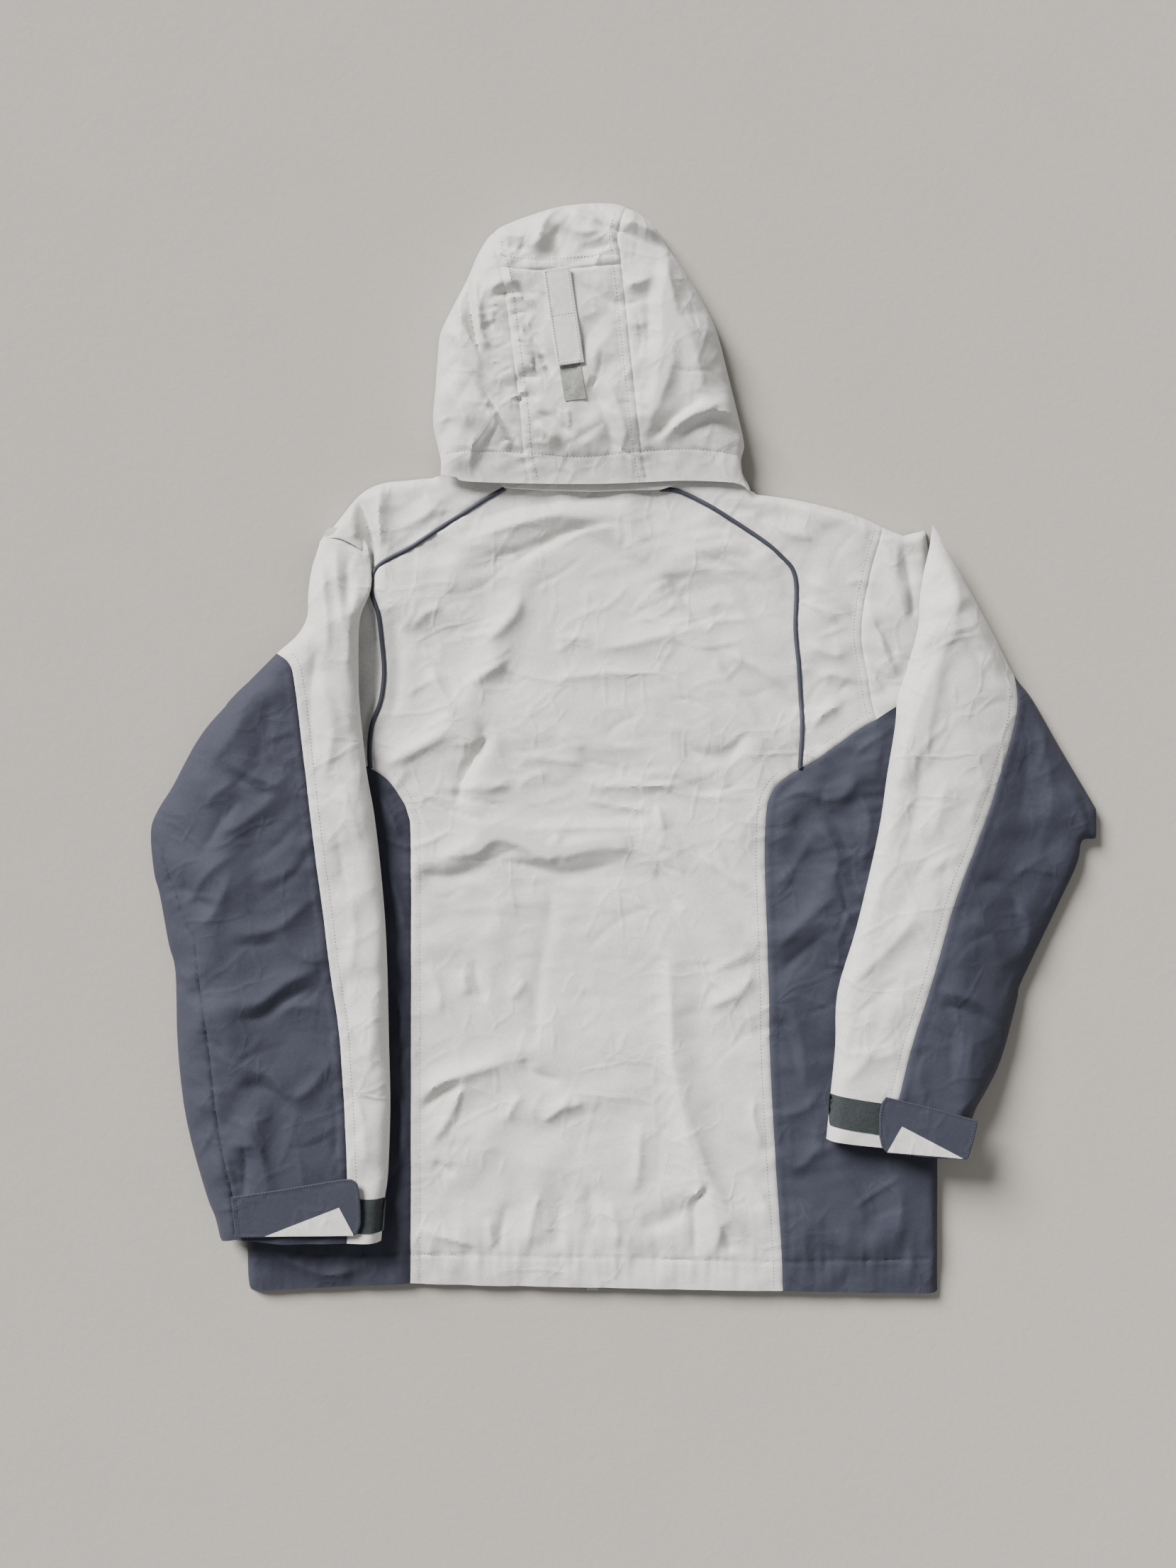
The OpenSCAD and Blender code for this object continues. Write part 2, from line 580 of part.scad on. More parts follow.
// ---- hood volume tab ----
hood_tab_at = [-61, 421];
hood_tab_tilt = 8.5;
hood_loop_z = hood_h;
hood_tab_z = hood_h + 2 * patch_t + gap;
module on_hood() translate([hood_tab_at[0], hood_tab_at[1], 0]) rotate([0, 0, hood_tab_tilt])
  children();
module hood_loop() color(loop_grey) on_hood()
  translate([-hood_tab_w / 2 + 2, -117, hood_loop_z]) cube([hood_tab_w - 5, 70, patch_t]);
module hood_tab() color(light) on_hood()
  translate([-hood_tab_w / 2, -hood_tab_l, hood_tab_z]) cube([hood_tab_w, hood_tab_l, tab_t]);
module hood_hook() color(loop_grey) on_hood()
  translate([-hood_tab_w / 2 + 2, -hood_tab_l + 3, hood_tab_z - patch_t])
    cube([hood_tab_w - 5, 36, patch_t]);

back_panel();
back_yoke_left();
back_yoke_right();
side_panel_left();
side_panel_right();
piping_left();
piping_right();
front_panel_left();
front_panel_right();
back_lining();
front_lining();
hem_facing();
collar_outer();
collar_lining();
hanger_loop();
sleeve_head_left();
sleeve_head_right();
zip_left();
zip_right();
zip_stops();
zip_guard();
zip_slider();
zip_pull();
pocket_bag_left();
pocket_bag_right();
pocket_zip_left();
pocket_zip_right();
pocket_slider_left();
pocket_slider_right();
pocket_pull_left();
pocket_pull_right();
sleeve_stripe_left();
sleeve_outer_left();
sleeve_under_left();
sleeve_lining_left();
cuff_facing_left();
cuff_loop_left();
cuff_tab_left();
cuff_accent_left();
cuff_hook_left();
sleeve_stripe_right();
sleeve_outer_right();
sleeve_under_right();
sleeve_lining_right();
cuff_facing_right();
cuff_loop_right();
cuff_tab_right();
cuff_accent_right();
cuff_hook_right();
hood_centre();
hood_crown();
hood_side_left();
hood_side_right();
hood_band();
hood_lining();
hood_loop();
hood_tab();
hood_hook();
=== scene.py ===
"""Looks of the hooded hardshell jacket, lying on its front with the sleeves beside the body.

Lengths in the shape code are in mm in the row frame; meshes are made in metres.
"""
import math

import bpy
import numpy as np
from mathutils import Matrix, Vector
from mathutils.geometry import delaunay_2d_cdt


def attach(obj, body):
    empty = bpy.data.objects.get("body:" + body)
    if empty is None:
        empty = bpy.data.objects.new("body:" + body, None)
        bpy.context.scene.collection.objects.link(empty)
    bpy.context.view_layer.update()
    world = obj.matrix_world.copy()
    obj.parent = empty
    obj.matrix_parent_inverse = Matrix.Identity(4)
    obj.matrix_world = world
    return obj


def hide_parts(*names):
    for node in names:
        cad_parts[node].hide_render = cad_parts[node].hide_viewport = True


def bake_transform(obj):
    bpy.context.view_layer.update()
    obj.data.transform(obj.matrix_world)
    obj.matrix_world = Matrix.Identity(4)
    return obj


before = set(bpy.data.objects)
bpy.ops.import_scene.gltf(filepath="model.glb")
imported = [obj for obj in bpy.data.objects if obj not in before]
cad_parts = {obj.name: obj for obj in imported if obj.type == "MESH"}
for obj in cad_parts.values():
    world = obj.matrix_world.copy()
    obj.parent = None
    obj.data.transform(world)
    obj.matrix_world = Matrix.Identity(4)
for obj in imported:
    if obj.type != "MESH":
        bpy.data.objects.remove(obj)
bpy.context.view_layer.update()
MM = 0.001

# ---------------------------------------------------------------- camera, lights and floor
cam = bpy.data.objects.new("camera", bpy.data.cameras.new("camera"))
cam.data.sensor_width = 36
cam.data.lens = 41.3
cam.data.clip_start = 0.05
cam.location = (-0.033, -0.032, 1.62)
bpy.context.collection.objects.link(cam)
bpy.context.scene.camera = cam


def light(name, kind, place, power, **settings):
    """A lamp at place, turned to the jacket."""
    data = bpy.data.lights.new(name, kind)
    data.energy = power
    data.color = (1.0, 0.985, 0.965)
    for key, value in settings.items():
        setattr(data, key, value)
    lamp = bpy.data.objects.new(name, data)
    lamp.location = place
    lamp.rotation_euler = (-Vector(place)).to_track_quat("-Z", "Y").to_euler()
    bpy.context.collection.objects.link(lamp)


light("key", "SUN", (-1.2, 1.25, 1.15), 7.9, angle=math.radians(27))
light("fill", "AREA", (0.9, -0.8, 1.7), 6, shape="DISK", size=1.8)
world = bpy.data.worlds.new("world")
world.use_nodes = True
world.node_tree.nodes["Background"].inputs["Color"].default_value = (0.97, 0.98, 1.0, 1)
world.node_tree.nodes["Background"].inputs["Strength"].default_value = 0.22
bpy.context.scene.world = world


# ---------------------------------------------------------------- materials
def grade(c):
    """Linear value of an sRGB component from 0 to 255."""
    c /= 255
    return c / 12.92 if c <= 0.04045 else ((c + 0.055) / 1.055) ** 2.4


def rgb(r, g, b):
    """Linear colour of sRGB components from 0 to 255."""
    return (grade(r), grade(g), grade(b), 1)


def feed(tree, n, inputs):
    """Sets inputs of a node, each to a value or to the socket that feeds it."""
    for key, value in inputs.items():
        if isinstance(value, bpy.types.NodeSocket):
            tree.links.new(value, n.inputs[key])
        else:
            n.inputs[key].default_value = value


def node(tree, kind, out, inputs, **settings):
    """A new shader node; what comes back is its output socket named out."""
    n = tree.nodes.new(kind)
    for key, value in settings.items():
        setattr(n, key, value)
    feed(tree, n, inputs)
    return n.outputs[out]


def speckle(tree, place, scale, detail, out="Fac", **more):
    """Noise texture over a vector socket."""
    return node(tree, "ShaderNodeTexNoise", out,
                {"Vector": place, "Scale": scale, "Detail": detail, **more})


def bumped(tree, normal, height, strength, distance):
    """A normal socket bent by a height socket; normal is None for the plain surface."""
    inputs = {"Strength": strength, "Distance": distance, "Height": height}
    if normal is not None:
        inputs["Normal"] = normal
    return node(tree, "ShaderNodeBump", "Normal", inputs)


def new_material(name):
    """A material, its tree, its surface node and the socket of its object coordinates."""
    mat = bpy.data.materials.new(name)
    mat.use_nodes = True
    tree = mat.node_tree
    coord = tree.nodes.new("ShaderNodeTexCoord")
    return mat, tree, tree.nodes["Principled BSDF"], coord.outputs["Object"]


def crease_lines(t, place, normal, strength):
    """Adds thin branching crests in two sizes, in patches, to a normal socket."""
    bend = speckle(t, place, 16.0, 2.0, "Color")
    sway = node(t, "ShaderNodeVectorMath", "Vector", {0: bend, 1: (0.03, 0.03, 0), 2: place},
                operation="MULTIPLY_ADD")
    for cell, stretch in ((21.0, (0.7, 1.0, 0.0)), (46.0, (1.0, 0.75, 0.0))):
        at = node(t, "ShaderNodeMapping", "Vector", {"Vector": sway, "Scale": stretch})
        lines = node(t, "ShaderNodeTexVoronoi", "Distance", {"Vector": at, "Scale": cell},
                     feature="DISTANCE_TO_EDGE")
        crest = node(t, "ShaderNodeMapRange", "Result",
                     {"Value": lines, "From Max": 0.0034 * cell, "To Min": 1.0, "To Max": 0.0})
        patches = node(t, "ShaderNodeMapRange", "Result",
                       {"Value": speckle(t, place, cell * 0.55, 1.0), "From Min": 0.44,
                        "From Max": 0.62}, interpolation_type="SMOOTHSTEP")
        both = node(t, "ShaderNodeMath", "Value", {0: crest, 1: patches},
                    operation="MULTIPLY")
        normal = bumped(t, normal, both, strength, 0.0012)
    return normal


def fabric(name, colour, rough=0.62, mottle=0.05, thread=0.14, crinkle=0.25, sheen=0.15,
           creased=0.0):
    """Woven cloth: slow mottling, crossed threads of uneven pitch, fine crinkle and creases."""
    mat, t, surface, place = new_material(name)
    threads = []
    for pitch in ((1500, 260, 600), (260, 1500, 600)):
        along = node(t, "ShaderNodeMapping", "Vector", {"Vector": place, "Scale": pitch})
        threads.append(speckle(t, along, 1.0, 2.0))
    weave = node(t, "ShaderNodeMath", "Value", {0: threads[0], 1: threads[1]}, operation="ADD")
    dark, pale = (tuple(min(c * k, 1) for c in colour[:3]) + (1,)
                  for k in (1 - mottle, 1 + mottle))
    cloth = node(t, "ShaderNodeMix", "Result",
                 {"A": dark, "B": pale, "Factor": speckle(t, place, 11.0, 4.0, Roughness=0.6)},
                 data_type="RGBA")
    shade = node(t, "ShaderNodeMapRange", "Result",
                 {"Value": weave, "From Min": 0.6, "From Max": 1.4, "To Min": 1 - thread,
                  "To Max": 1 + thread})
    tint = node(t, "ShaderNodeVectorMath", "Vector", {0: cloth, "Scale": shade},
                operation="SCALE")
    rucks = speckle(t, place, 130.0, 5.0, Roughness=0.55, Distortion=0.6)
    normal = bumped(t, None, rucks, crinkle, 0.0012)
    normal = bumped(t, normal, weave, 0.12, 0.0003)
    if creased:
        normal = crease_lines(t, place, normal, creased)
    feed(t, surface, {"Base Color": tint, "Normal": normal, "Roughness": rough,
                      "Sheen Weight": sheen, "Sheen Roughness": 0.5,
                      "Specular IOR Level": 0.35})
    return mat


def metal(name, colour):
    """Plain metal, unevenly worn."""
    mat, t, surface, place = new_material(name)
    rough = node(t, "ShaderNodeMapRange", "Result",
                 {"Value": speckle(t, place, 420.0, 4.0), "To Min": 0.28, "To Max": 0.5})
    feed(t, surface, {"Metallic": 1.0, "Base Color": colour, "Roughness": rough})
    return mat


MATS = {
    "light_shell": fabric("light_shell", rgb(214, 213, 209), crinkle=0.16, creased=0.42),
    "navy_shell": fabric("navy_shell", rgb(53, 55, 68), rough=0.78, mottle=0.07, sheen=0.03,
                         crinkle=0.2, creased=0.3),
    "piping": fabric("piping", rgb(58, 61, 72), rough=0.6, sheen=0.05, crinkle=0.1),
    "lining": fabric("lining", rgb(112, 117, 124), rough=0.8, thread=0.25),
    "cuff_loop": fabric("cuff_loop", rgb(48, 53, 55), rough=0.95, mottle=0.2, thread=0.4,
                        crinkle=0.5),
    "hood_loop": fabric("hood_loop", rgb(146, 147, 143), rough=0.95, mottle=0.16, thread=0.3,
                        crinkle=0.5),
    "zip_tape": fabric("zip_tape", rgb(58, 61, 72), rough=0.75, thread=0.25),
    "zip_metal": metal("zip_metal", (0.42, 0.43, 0.45, 1)),
}
# the light shell's thread grey is much darker than its cloth: partly the thread's own colour,
# partly painted shade of the stitch holes and seam grooves; the navy thread is the navy's own
# colour
THREAD = {
    "light_shell": fabric("thread_light", rgb(132, 132, 129), rough=0.8),
    "navy_shell": fabric("thread_navy", rgb(52, 55, 67), rough=0.8),
}

floor_mat = fabric("floor", rgb(176, 172, 165), rough=0.9, mottle=0.03, thread=0.02)
bpy.ops.mesh.primitive_plane_add(size=80)
floor = bpy.context.object
floor.name = "floor"
floor.data.materials.append(floor_mat)


# ---------------------------------------------------------------- plane geometry
STEP = 3.0      # spacing of the points along an outline


def pts(*values):
    """Points from x and y in turn."""
    return np.array(values, float).reshape(-1, 2)


def spline(line, n=4):
    """A smooth open line through every point of line."""
    p = np.vstack([line[0], line, line[-1]])
    out = []
    for i in range(len(line) - 1):
        a, b, c, d = p[i:i + 4]
        for t in np.arange(n) / n:
            out.append(0.5 * (2 * b + (c - a) * t + (2 * a - 5 * b + 4 * c - d) * t * t
                              + (3 * b - a - 3 * c + d) * t ** 3))
    return np.array(out + [line[-1]])


def arc(line):
    """Length along a line at each of its points."""
    return np.r_[0, np.cumsum(np.hypot(*np.diff(line, axis=0).T))]


def resample(line, step):
    """Evenly spaced points along a line."""
    s = arc(line)
    t = np.linspace(0, s[-1], max(2, int(round(s[-1] / step)) + 1))
    return np.column_stack([np.interp(t, s, line[:, k]) for k in (0, 1)])


def curve(points, step=STEP):
    """Evenly spaced points on a smooth line through points."""
    return resample(spline(points), step)


def straight(*values, step=STEP):
    """Evenly spaced points on straight stretches between corners."""
    return resample(pts(*values), step)


def closed(points, step):
    """Evenly spaced points round an outline whose last corner repeats the first."""
    return resample(points, step)[:-1]


def near(line, p):
    """Signed distance from an open line, positive on its left, and the length along it."""
    best = np.full(len(p), 1e18)
    sign = np.ones(len(p))
    along = np.zeros(len(p))
    s = arc(line)
    for i in range(len(line) - 1):
        a, d = line[i], line[i + 1] - line[i]
        q = p - a
        t = np.clip((q @ d) / max(d @ d, 1e-9), 0, 1)
        q = q - t[:, None] * d
        dist = (q * q).sum(1)
        m = dist < best
        best[m] = dist[m]
        sign[m] = np.where(d[0] * q[m, 1] - d[1] * q[m, 0] >= 0, 1, -1)
        along[m] = s[i] + t[m] * (s[i + 1] - s[i])
    return np.sqrt(best) * sign, along


def apart(line, p):
    """Distance from an open line."""
    return np.abs(near(line, p)[0])


def inside(poly, p):
    """Which points lie inside a closed outline."""
    x, y = p[:, 0], p[:, 1]
    hit = np.zeros(len(p), bool)
    for a, b in zip(poly, np.roll(poly, -1, 0)):
        if a[1] == b[1]:
            continue
        cross = (a[1] > y) != (b[1] > y)
        hit ^= cross & (x < (b[0] - a[0]) * (y - a[1]) / (b[1] - a[1]) + a[0])
    return hit


def ring(*lines):
    """One closed outline of lines that follow each other; shared end points are dropped."""
    out = [np.asarray(lines[0], float)]
    for line in lines[1:]:
        line = np.asarray(line, float)
        out.append(line[1:] if np.allclose(line[0], out[-1][-1], atol=0.05) else line)
    out = np.vstack(out)
    return out[:-1] if np.allclose(out[0], out[-1], atol=0.05) else out


def area_of(poly):
    """Area of a closed outline, positive when it runs anticlockwise."""
    x, y = poly.T
    return 0.5 * (x @ np.roll(y, -1) - y @ np.roll(x, -1))


def inward(outline):
    """Unit vectors into a closed outline at each of its points."""
    t = np.roll(outline, -1, 0) - np.roll(outline, 1, 0)
    n = np.column_stack([-t[:, 1], t[:, 0]]) * (1 if area_of(outline) > 0 else -1)
    return n / np.maximum(np.hypot(*n.T), 1e-6)[:, None]


def beside(line, d):
    """An open line moved sideways by d, to its left."""
    t = np.gradient(line, axis=0)
    t /= np.hypot(*t.T)[:, None]
    return line + np.column_stack([-t[:, 1], t[:, 0]]) * d


def smooth(t):
    """Ramp from 0 to 1 with soft ends."""
    t = np.clip(t, 0, 1)
    return t * t * (3 - 2 * t)


def soft_min(a, b, k=1.5):
    """The lower of a and b, rounded where they cross."""
    h = np.clip(0.5 + 0.5 * (b - a) / k, 0, 1)
    return b * (1 - h) + a * h - k * h * (1 - h)


def dome(d, r):
    """Quarter round from 0 at an edge to 1 at distance r."""
    return np.sqrt(np.clip(1 - (1 - np.clip(d / r, 0, 1)) ** 2, 0, 1))


PERIOD = 97     # cells after which the noise repeats
ANGLES = {}


def angles(seed):
    """A square table of random angles."""
    if seed not in ANGLES:
        draw = np.random.default_rng(seed).random((PERIOD, PERIOD))
        ANGLES[seed] = draw * 2 * math.pi
    return ANGLES[seed]


def noise(x, y, seed):
    """Gradient noise of about -1 to 1 with a cell of 1."""
    g = angles(seed)
    xi, yi = np.floor(x).astype(int), np.floor(y).astype(int)
    xf, yf = x - xi, y - yi
    u, v = (f * f * f * (f * (f * 6 - 15) + 10) for f in (xf, yf))

    def corner(i, j):
        a = g[(xi + i) % PERIOD, (yi + j) % PERIOD]
        return np.cos(a) * (xf - i) + np.sin(a) * (yf - j)

    low = corner(0, 0) * (1 - u) + corner(1, 0) * u
    high = corner(0, 1) * (1 - u) + corner(1, 1) * u
    return 1.5 * (low * (1 - v) + high * v)


def turned(p, angle):
    """x and y of points in axes turned by angle."""
    c, s = math.cos(angle), math.sin(angle)
    return p[:, 0] * c + p[:, 1] * s, -p[:, 0] * s + p[:, 1] * c


def crumple(p, size, seed, stretch=1.0, angle=0.0):
    """Creased cloth: sharp crests between soft facets, about -1 to 1."""
    x, y = turned(p, angle)
    x, y = x / size, y / size / stretch
    wx = x + 0.45 * noise(x * 0.8, y * 0.8, seed + 1)
    wy = y + 0.45 * noise(x * 0.8 + 9, y * 0.8, seed + 2)
    a = noise(wx, wy, seed + 3)
    b = noise(wx * 1.3 + 5, wy * 1.3, seed + 4)
    return (0.5 - 1.7 * np.sqrt(a * a + 0.0006)) * 0.95 + 0.45 * (0.5 - 1.5 * np.abs(b))


def facets(p, size, seed, stretch=1.0, angle=0.0):
    """Crushed cloth: flat facets that meet in sharp bent creases, about -1 to 1."""
    x, y = turned(p, angle)
    x, y = x / size / stretch, y / size
    wx = x + 0.42 * noise(x * 0.7, y * 0.7, seed + 1)
    wy = y + 0.42 * noise(x * 0.7 + 9, y * 0.7, seed + 2)
    u, v = wx + 0.577 * wy, 1.155 * wy
    i, j = np.floor(u).astype(int), np.floor(v).astype(int)
    fu, fv = u - i, v - j
    g = angles(seed + 3) / math.pi - 1

    def at(a, b):
        return g[(i + a) % PERIOD, (j + b) % PERIOD]

    low = at(0, 0) + fu * (at(1, 0) - at(0, 0)) + fv * (at(0, 1) - at(0, 0))
    high = at(1, 1) + (1 - fu) * (at(0, 1) - at(1, 1)) + (1 - fv) * (at(1, 0) - at(1, 1))
    return np.where(fu + fv < 1, low, high)


SEAM_HOLD = 3.2     # how far from a seam the falling cloth is held


def along_seam(p, lines):
    """Which points lie on a seam that is held while the cloth falls."""
    return np.any([apart(line, p) < SEAM_HOLD for line in lines], axis=0)


def drape(name, box, start, held, grow=0.012, pitch=6.0):
    """Heights over a box of a sheet cut a little too large for its seams and let fall."""
    xs = np.arange(box[0], box[2] + pitch, pitch)
    ys = np.arange(box[1], box[3] + pitch, pitch)
    gx, gy = np.meshgrid(xs, ys)
    p = np.column_stack([gx.ravel(), gy.ravel()])
    z = start(p)
    z = fall(name, p, z, len(xs), held(p), grow)
    grid = np.pad(z.reshape(gx.shape), 2, "edge")

    def height(q):
        u = np.clip((q[:, 0] - xs[0]) / pitch, 0, len(xs) - 1)
        v = np.clip((q[:, 1] - ys[0]) / pitch, 0, len(ys) - 1)
        i, j = np.floor(u).astype(int), np.floor(v).astype(int)
        out = np.zeros(len(q))
        for b, wb in enumerate(blend_weights(v - j)):
            for a, wa in enumerate(blend_weights(u - i)):
                out += wa * wb * grid[np.minimum(j + b + 1, grid.shape[0] - 1),
                                      np.minimum(i + a + 1, grid.shape[1] - 1)]
        return out
    return height


def blend_weights(t):
    """Weights of four samples on a smooth curve, at t from the second to the third."""
    return ((1 - t) ** 3 / 6, (3 * t ** 3 - 6 * t * t + 4) / 6,
            (-3 * t ** 3 + 3 * t * t + 3 * t + 1) / 6, t ** 3 / 6)


def fall(name, p, z, columns, held, grow, bend=60, frames=26, bed=-2.0):
    """Cloth simulation of a flat grid of points over a bed; the heights it ends at, in mm."""
    rows = len(p) // columns
    quads = [[j * columns + i, j * columns + i + 1, (j + 1) * columns + i + 1,
              (j + 1) * columns + i] for j in range(rows - 1) for i in range(columns - 1)]
    mesh = bpy.data.meshes.new(name)
    mesh.from_pydata((np.column_stack([p, z]) * MM).tolist(), [], quads)
    cloth = bpy.data.objects.new(name, mesh)
    ground = bpy.data.meshes.new(name + "_bed")
    ground.from_pydata([(-1, -1, bed * MM), (1, -1, bed * MM), (1, 1, bed * MM),
                        (-1, 1, bed * MM)], [], [[0, 1, 2, 3]])
    ground = bpy.data.objects.new(name + "_bed", ground)
    for obj in (cloth, ground):
        bpy.context.collection.objects.link(obj)
    group = cloth.vertex_groups.new(name="held")
    for i in np.nonzero(held)[0]:
        group.add([int(i)], 1.0, "REPLACE")
    mod = cloth.modifiers.new("Cloth", "CLOTH")
    mod.settings.quality = 5
    mod.settings.mass = 0.12
    mod.settings.tension_stiffness = mod.settings.compression_stiffness = 25
    mod.settings.shear_stiffness = 8
    mod.settings.bending_stiffness = bend
    mod.settings.air_damping = 6
    mod.settings.tension_damping = mod.settings.compression_damping = 8
    mod.settings.shrink_min = -grow
    mod.settings.vertex_group_mass = "held"
    mod.collision_settings.distance_min = MM
    ground.modifiers.new("Collision", "COLLISION")
    ground.collision.cloth_friction = 12
    ground.collision.thickness_outer = MM
    scene = bpy.context.scene
    scene.frame_start, scene.frame_end = 1, frames
    mod.point_cache.frame_start, mod.point_cache.frame_end = 1, frames
    for k in range(1, frames + 1):
        scene.frame_set(k)
    done = cloth.evaluated_get(bpy.context.evaluated_depsgraph_get())
    v = np.empty(len(p) * 3)
    done.data.vertices.foreach_get("co", v)
    for obj in (cloth, ground):
        bpy.data.objects.remove(obj)
    scene.frame_set(1)
    return v[2::3] / MM


def creases(seed, count, box, angle, spread, length, height, width):
    """Random short folds over a box, most of them near one direction in degrees."""
    rng = np.random.default_rng(seed)
    out = []
    for _ in range(count):
        mid = np.array([rng.uniform(box[0], box[2]), rng.uniform(box[1], box[3])])
        a = math.radians(angle + spread * rng.normal())
        half = 0.5 * rng.uniform(*length)
        step = half * np.array([math.cos(a), math.sin(a)])
        bow = np.array([-step[1], step[0]]) * 0.28 * rng.normal()
        amp = rng.uniform(*height) * (1 if rng.random() < 0.62 else -0.8)
        w = rng.uniform(*width)
        out.append((amp, w, w * rng.uniform(0.5, 1.1), *(mid - step), *(mid + bow),
                    *(mid + step)))
    return out


def folds(z, p, strokes, gain=1.0):
    """Adds folds: height, width on the left, width on the right, then x and y of its line."""
    for amp, left, right, *line in strokes:
        line = spline(pts(*line))
        reach = 4 * max(left, right)
        m = ((p > line.min(0) - reach) & (p < line.max(0) + reach)).all(1)
        if not m.any():
            continue
        d, s = near(line, p[m])
        t = s / arc(line)[-1]
        u = np.abs(d) / np.where(d > 0, left, right)
        crest = np.exp(-1.5 * (np.sqrt(u * u + 0.01) - 0.1))
        here = gain[m] if np.ndim(gain) else gain
        z[m] += here * amp * crest * smooth(t / 0.3) * smooth((1 - t) / 0.3)
    return z


def seam(z, p, line, depth=1.1, width=1.3, pucker=0.45, reach=9, seed=0, raised=0):
    """A sewn seam: a groove, small puckers across it, and a raised allowance on one side."""
    lo, hi = line.min(0) - 3 * reach, line.max(0) + 3 * reach
    m = ((p > lo) & (p < hi)).all(1)
    if not m.any():
        return z
    d, s = near(line, p[m])
    wave = noise(s / 5.5, d / 40, 40 + seed) + 0.6 * noise(s / 11, d / 30, 60 + seed)
    end = smooth(s / 8 + 0.3) * smooth((arc(line)[-1] - s) / 8 + 0.3)
    z[m] += end * (pucker * wave * np.exp(-(np.abs(d) / reach) ** 1.6)
                   - depth * np.exp(-(d / width) ** 2))
    if raised:
        side = d * np.sign(raised)
        z[m] += 0.5 * abs(raised) * smooth(side / 1.5) * smooth((9.5 - side) / 1.5) * end
        z[m] -= 0.55 * np.exp(-((side - 8) / 1.2) ** 2) * end
    return z


# ---------------------------------------------------------------- meshes
def close_to(line, p, reach, cells=2):
    """Whether points lie within reach of a closed line, on a raster of so many cells a mm."""
    dense = resample(np.vstack([line, line[:1]]), 1.0)
    lo = np.minimum(dense.min(0), p.min(0)) - reach - 2
    n = np.ceil((np.maximum(dense.max(0), p.max(0)) + reach + 2 - lo) * cells).astype(int)
    mask = np.zeros(n, bool)
    k = int(reach * cells)
    disk = [(i, j) for i in range(-k, k + 1) for j in range(-k, k + 1) if i * i + j * j <= k * k]
    at = ((dense - lo) * cells).astype(int)
    for i, j in disk:
        mask[at[:, 0] + i, at[:, 1] + j] = True
    q = ((p - lo) * cells).astype(int)
    return mask[q[:, 0], q[:, 1]]


ROW_PITCH = 0.866   # pitch of the rows of a triangle grid, as a share of its step
JITTER = 0.3        # random share of a step that hides the grid
MERGE = 0.55        # points nearer to each other than about this become one


def triangulate(outline, step, holes, rows, lines):
    """Points and triangles that fill an outline, finer in rows beside its edge."""
    edge = [outline, *holes]
    rng = np.random.default_rng(7)
    lo, hi = edge[0].min(0), edge[0].max(0)
    ys = np.arange(lo[1], hi[1], step * ROW_PITCH)
    grid = []
    for k, y in enumerate(ys):
        xs = np.arange(lo[0] + (k % 2) * step / 2, hi[0], step)
        grid.append(np.column_stack([xs, np.full(len(xs), y)]))
    grid = np.vstack(grid)
    grid += (rng.random(grid.shape) - 0.5) * JITTER * step
    rim = np.vstack([edge[0], edge[0][:1]])
    grid = grid[inside(edge[0], grid)]
    grid = grid[~close_to(edge[0], grid, (rows[-1] if rows else 0) + 0.6 * step)]
    extra = [grid]
    for r in rows:
        q = edge[0] + inward(edge[0]) * r
        q = q[inside(edge[0], q)]
        extra.append(q[apart(rim, q) > 0.93 * r])
    for line in lines:
        q = line[inside(edge[0], line)]
        extra.append(q[apart(rim, q) > 1.0])
    free = np.vstack(extra)
    for h in holes:
        far = apart(np.vstack([h, h[:1]]), free) > 0.6
        free = free[far & ~inside(h, free)]
    free = free[np.unique(np.round(free / MERGE).astype(int), axis=0, return_index=True)[1]]
    verts, links, base = [], [], 0
    for e in edge:
        verts.append(e)
        links += [(base + i, base + (i + 1) % len(e)) for i in range(len(e))]
        base += len(e)
    verts = np.vstack(verts + [free])
    out, _, faces, *_ = delaunay_2d_cdt([Vector(v) for v in verts], links, [], 0, 1e-5)
    p = np.array([(v.x, v.y) for v in out])
    f = np.array([t for t in faces if len(t) == 3])
    mid = p[f].mean(1)
    keep = inside(edge[0], mid)
    for h in holes:
        keep &= ~inside(h, mid)
    f = f[keep]
    ab, ac = p[f[:, 1]] - p[f[:, 0]], p[f[:, 2]] - p[f[:, 0]]
    area = ab[:, 0] * ac[:, 1] - ab[:, 1] * ac[:, 0]
    f = f[np.abs(area) > 1e-6]
    area = area[np.abs(area) > 1e-6]
    f[area < 0] = f[area < 0][:, ::-1]
    used = np.unique(f)
    index = np.full(len(p), -1)
    index[used] = np.arange(len(used))
    return p[used], index[f]


def build(name, v, faces, mat, sharp=48):
    """An object of points in mm, smooth but for edges sharper than an angle in degrees."""
    name += "_cloth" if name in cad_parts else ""
    mesh = bpy.data.meshes.new(name)
    mesh.from_pydata((np.asarray(v) * MM).tolist(), [], [list(map(int, f)) for f in faces])
    mesh.polygons.foreach_set("use_smooth", [True] * len(mesh.polygons))
    mesh.set_sharp_from_angle(angle=math.radians(sharp))
    mesh.materials.append(mat)
    obj = bpy.data.objects.new(name, mesh)
    bpy.context.collection.objects.link(obj)
    return obj


def normals(v, f):
    """Unit normals at the points of a triangle mesh."""
    n = np.zeros_like(v)
    fn = np.cross(v[f[:, 1]] - v[f[:, 0]], v[f[:, 2]] - v[f[:, 0]])
    for k in range(3):
        np.add.at(n, f[:, k], fn)
    return n / np.maximum(np.linalg.norm(n, axis=1), 1e-9)[:, None]


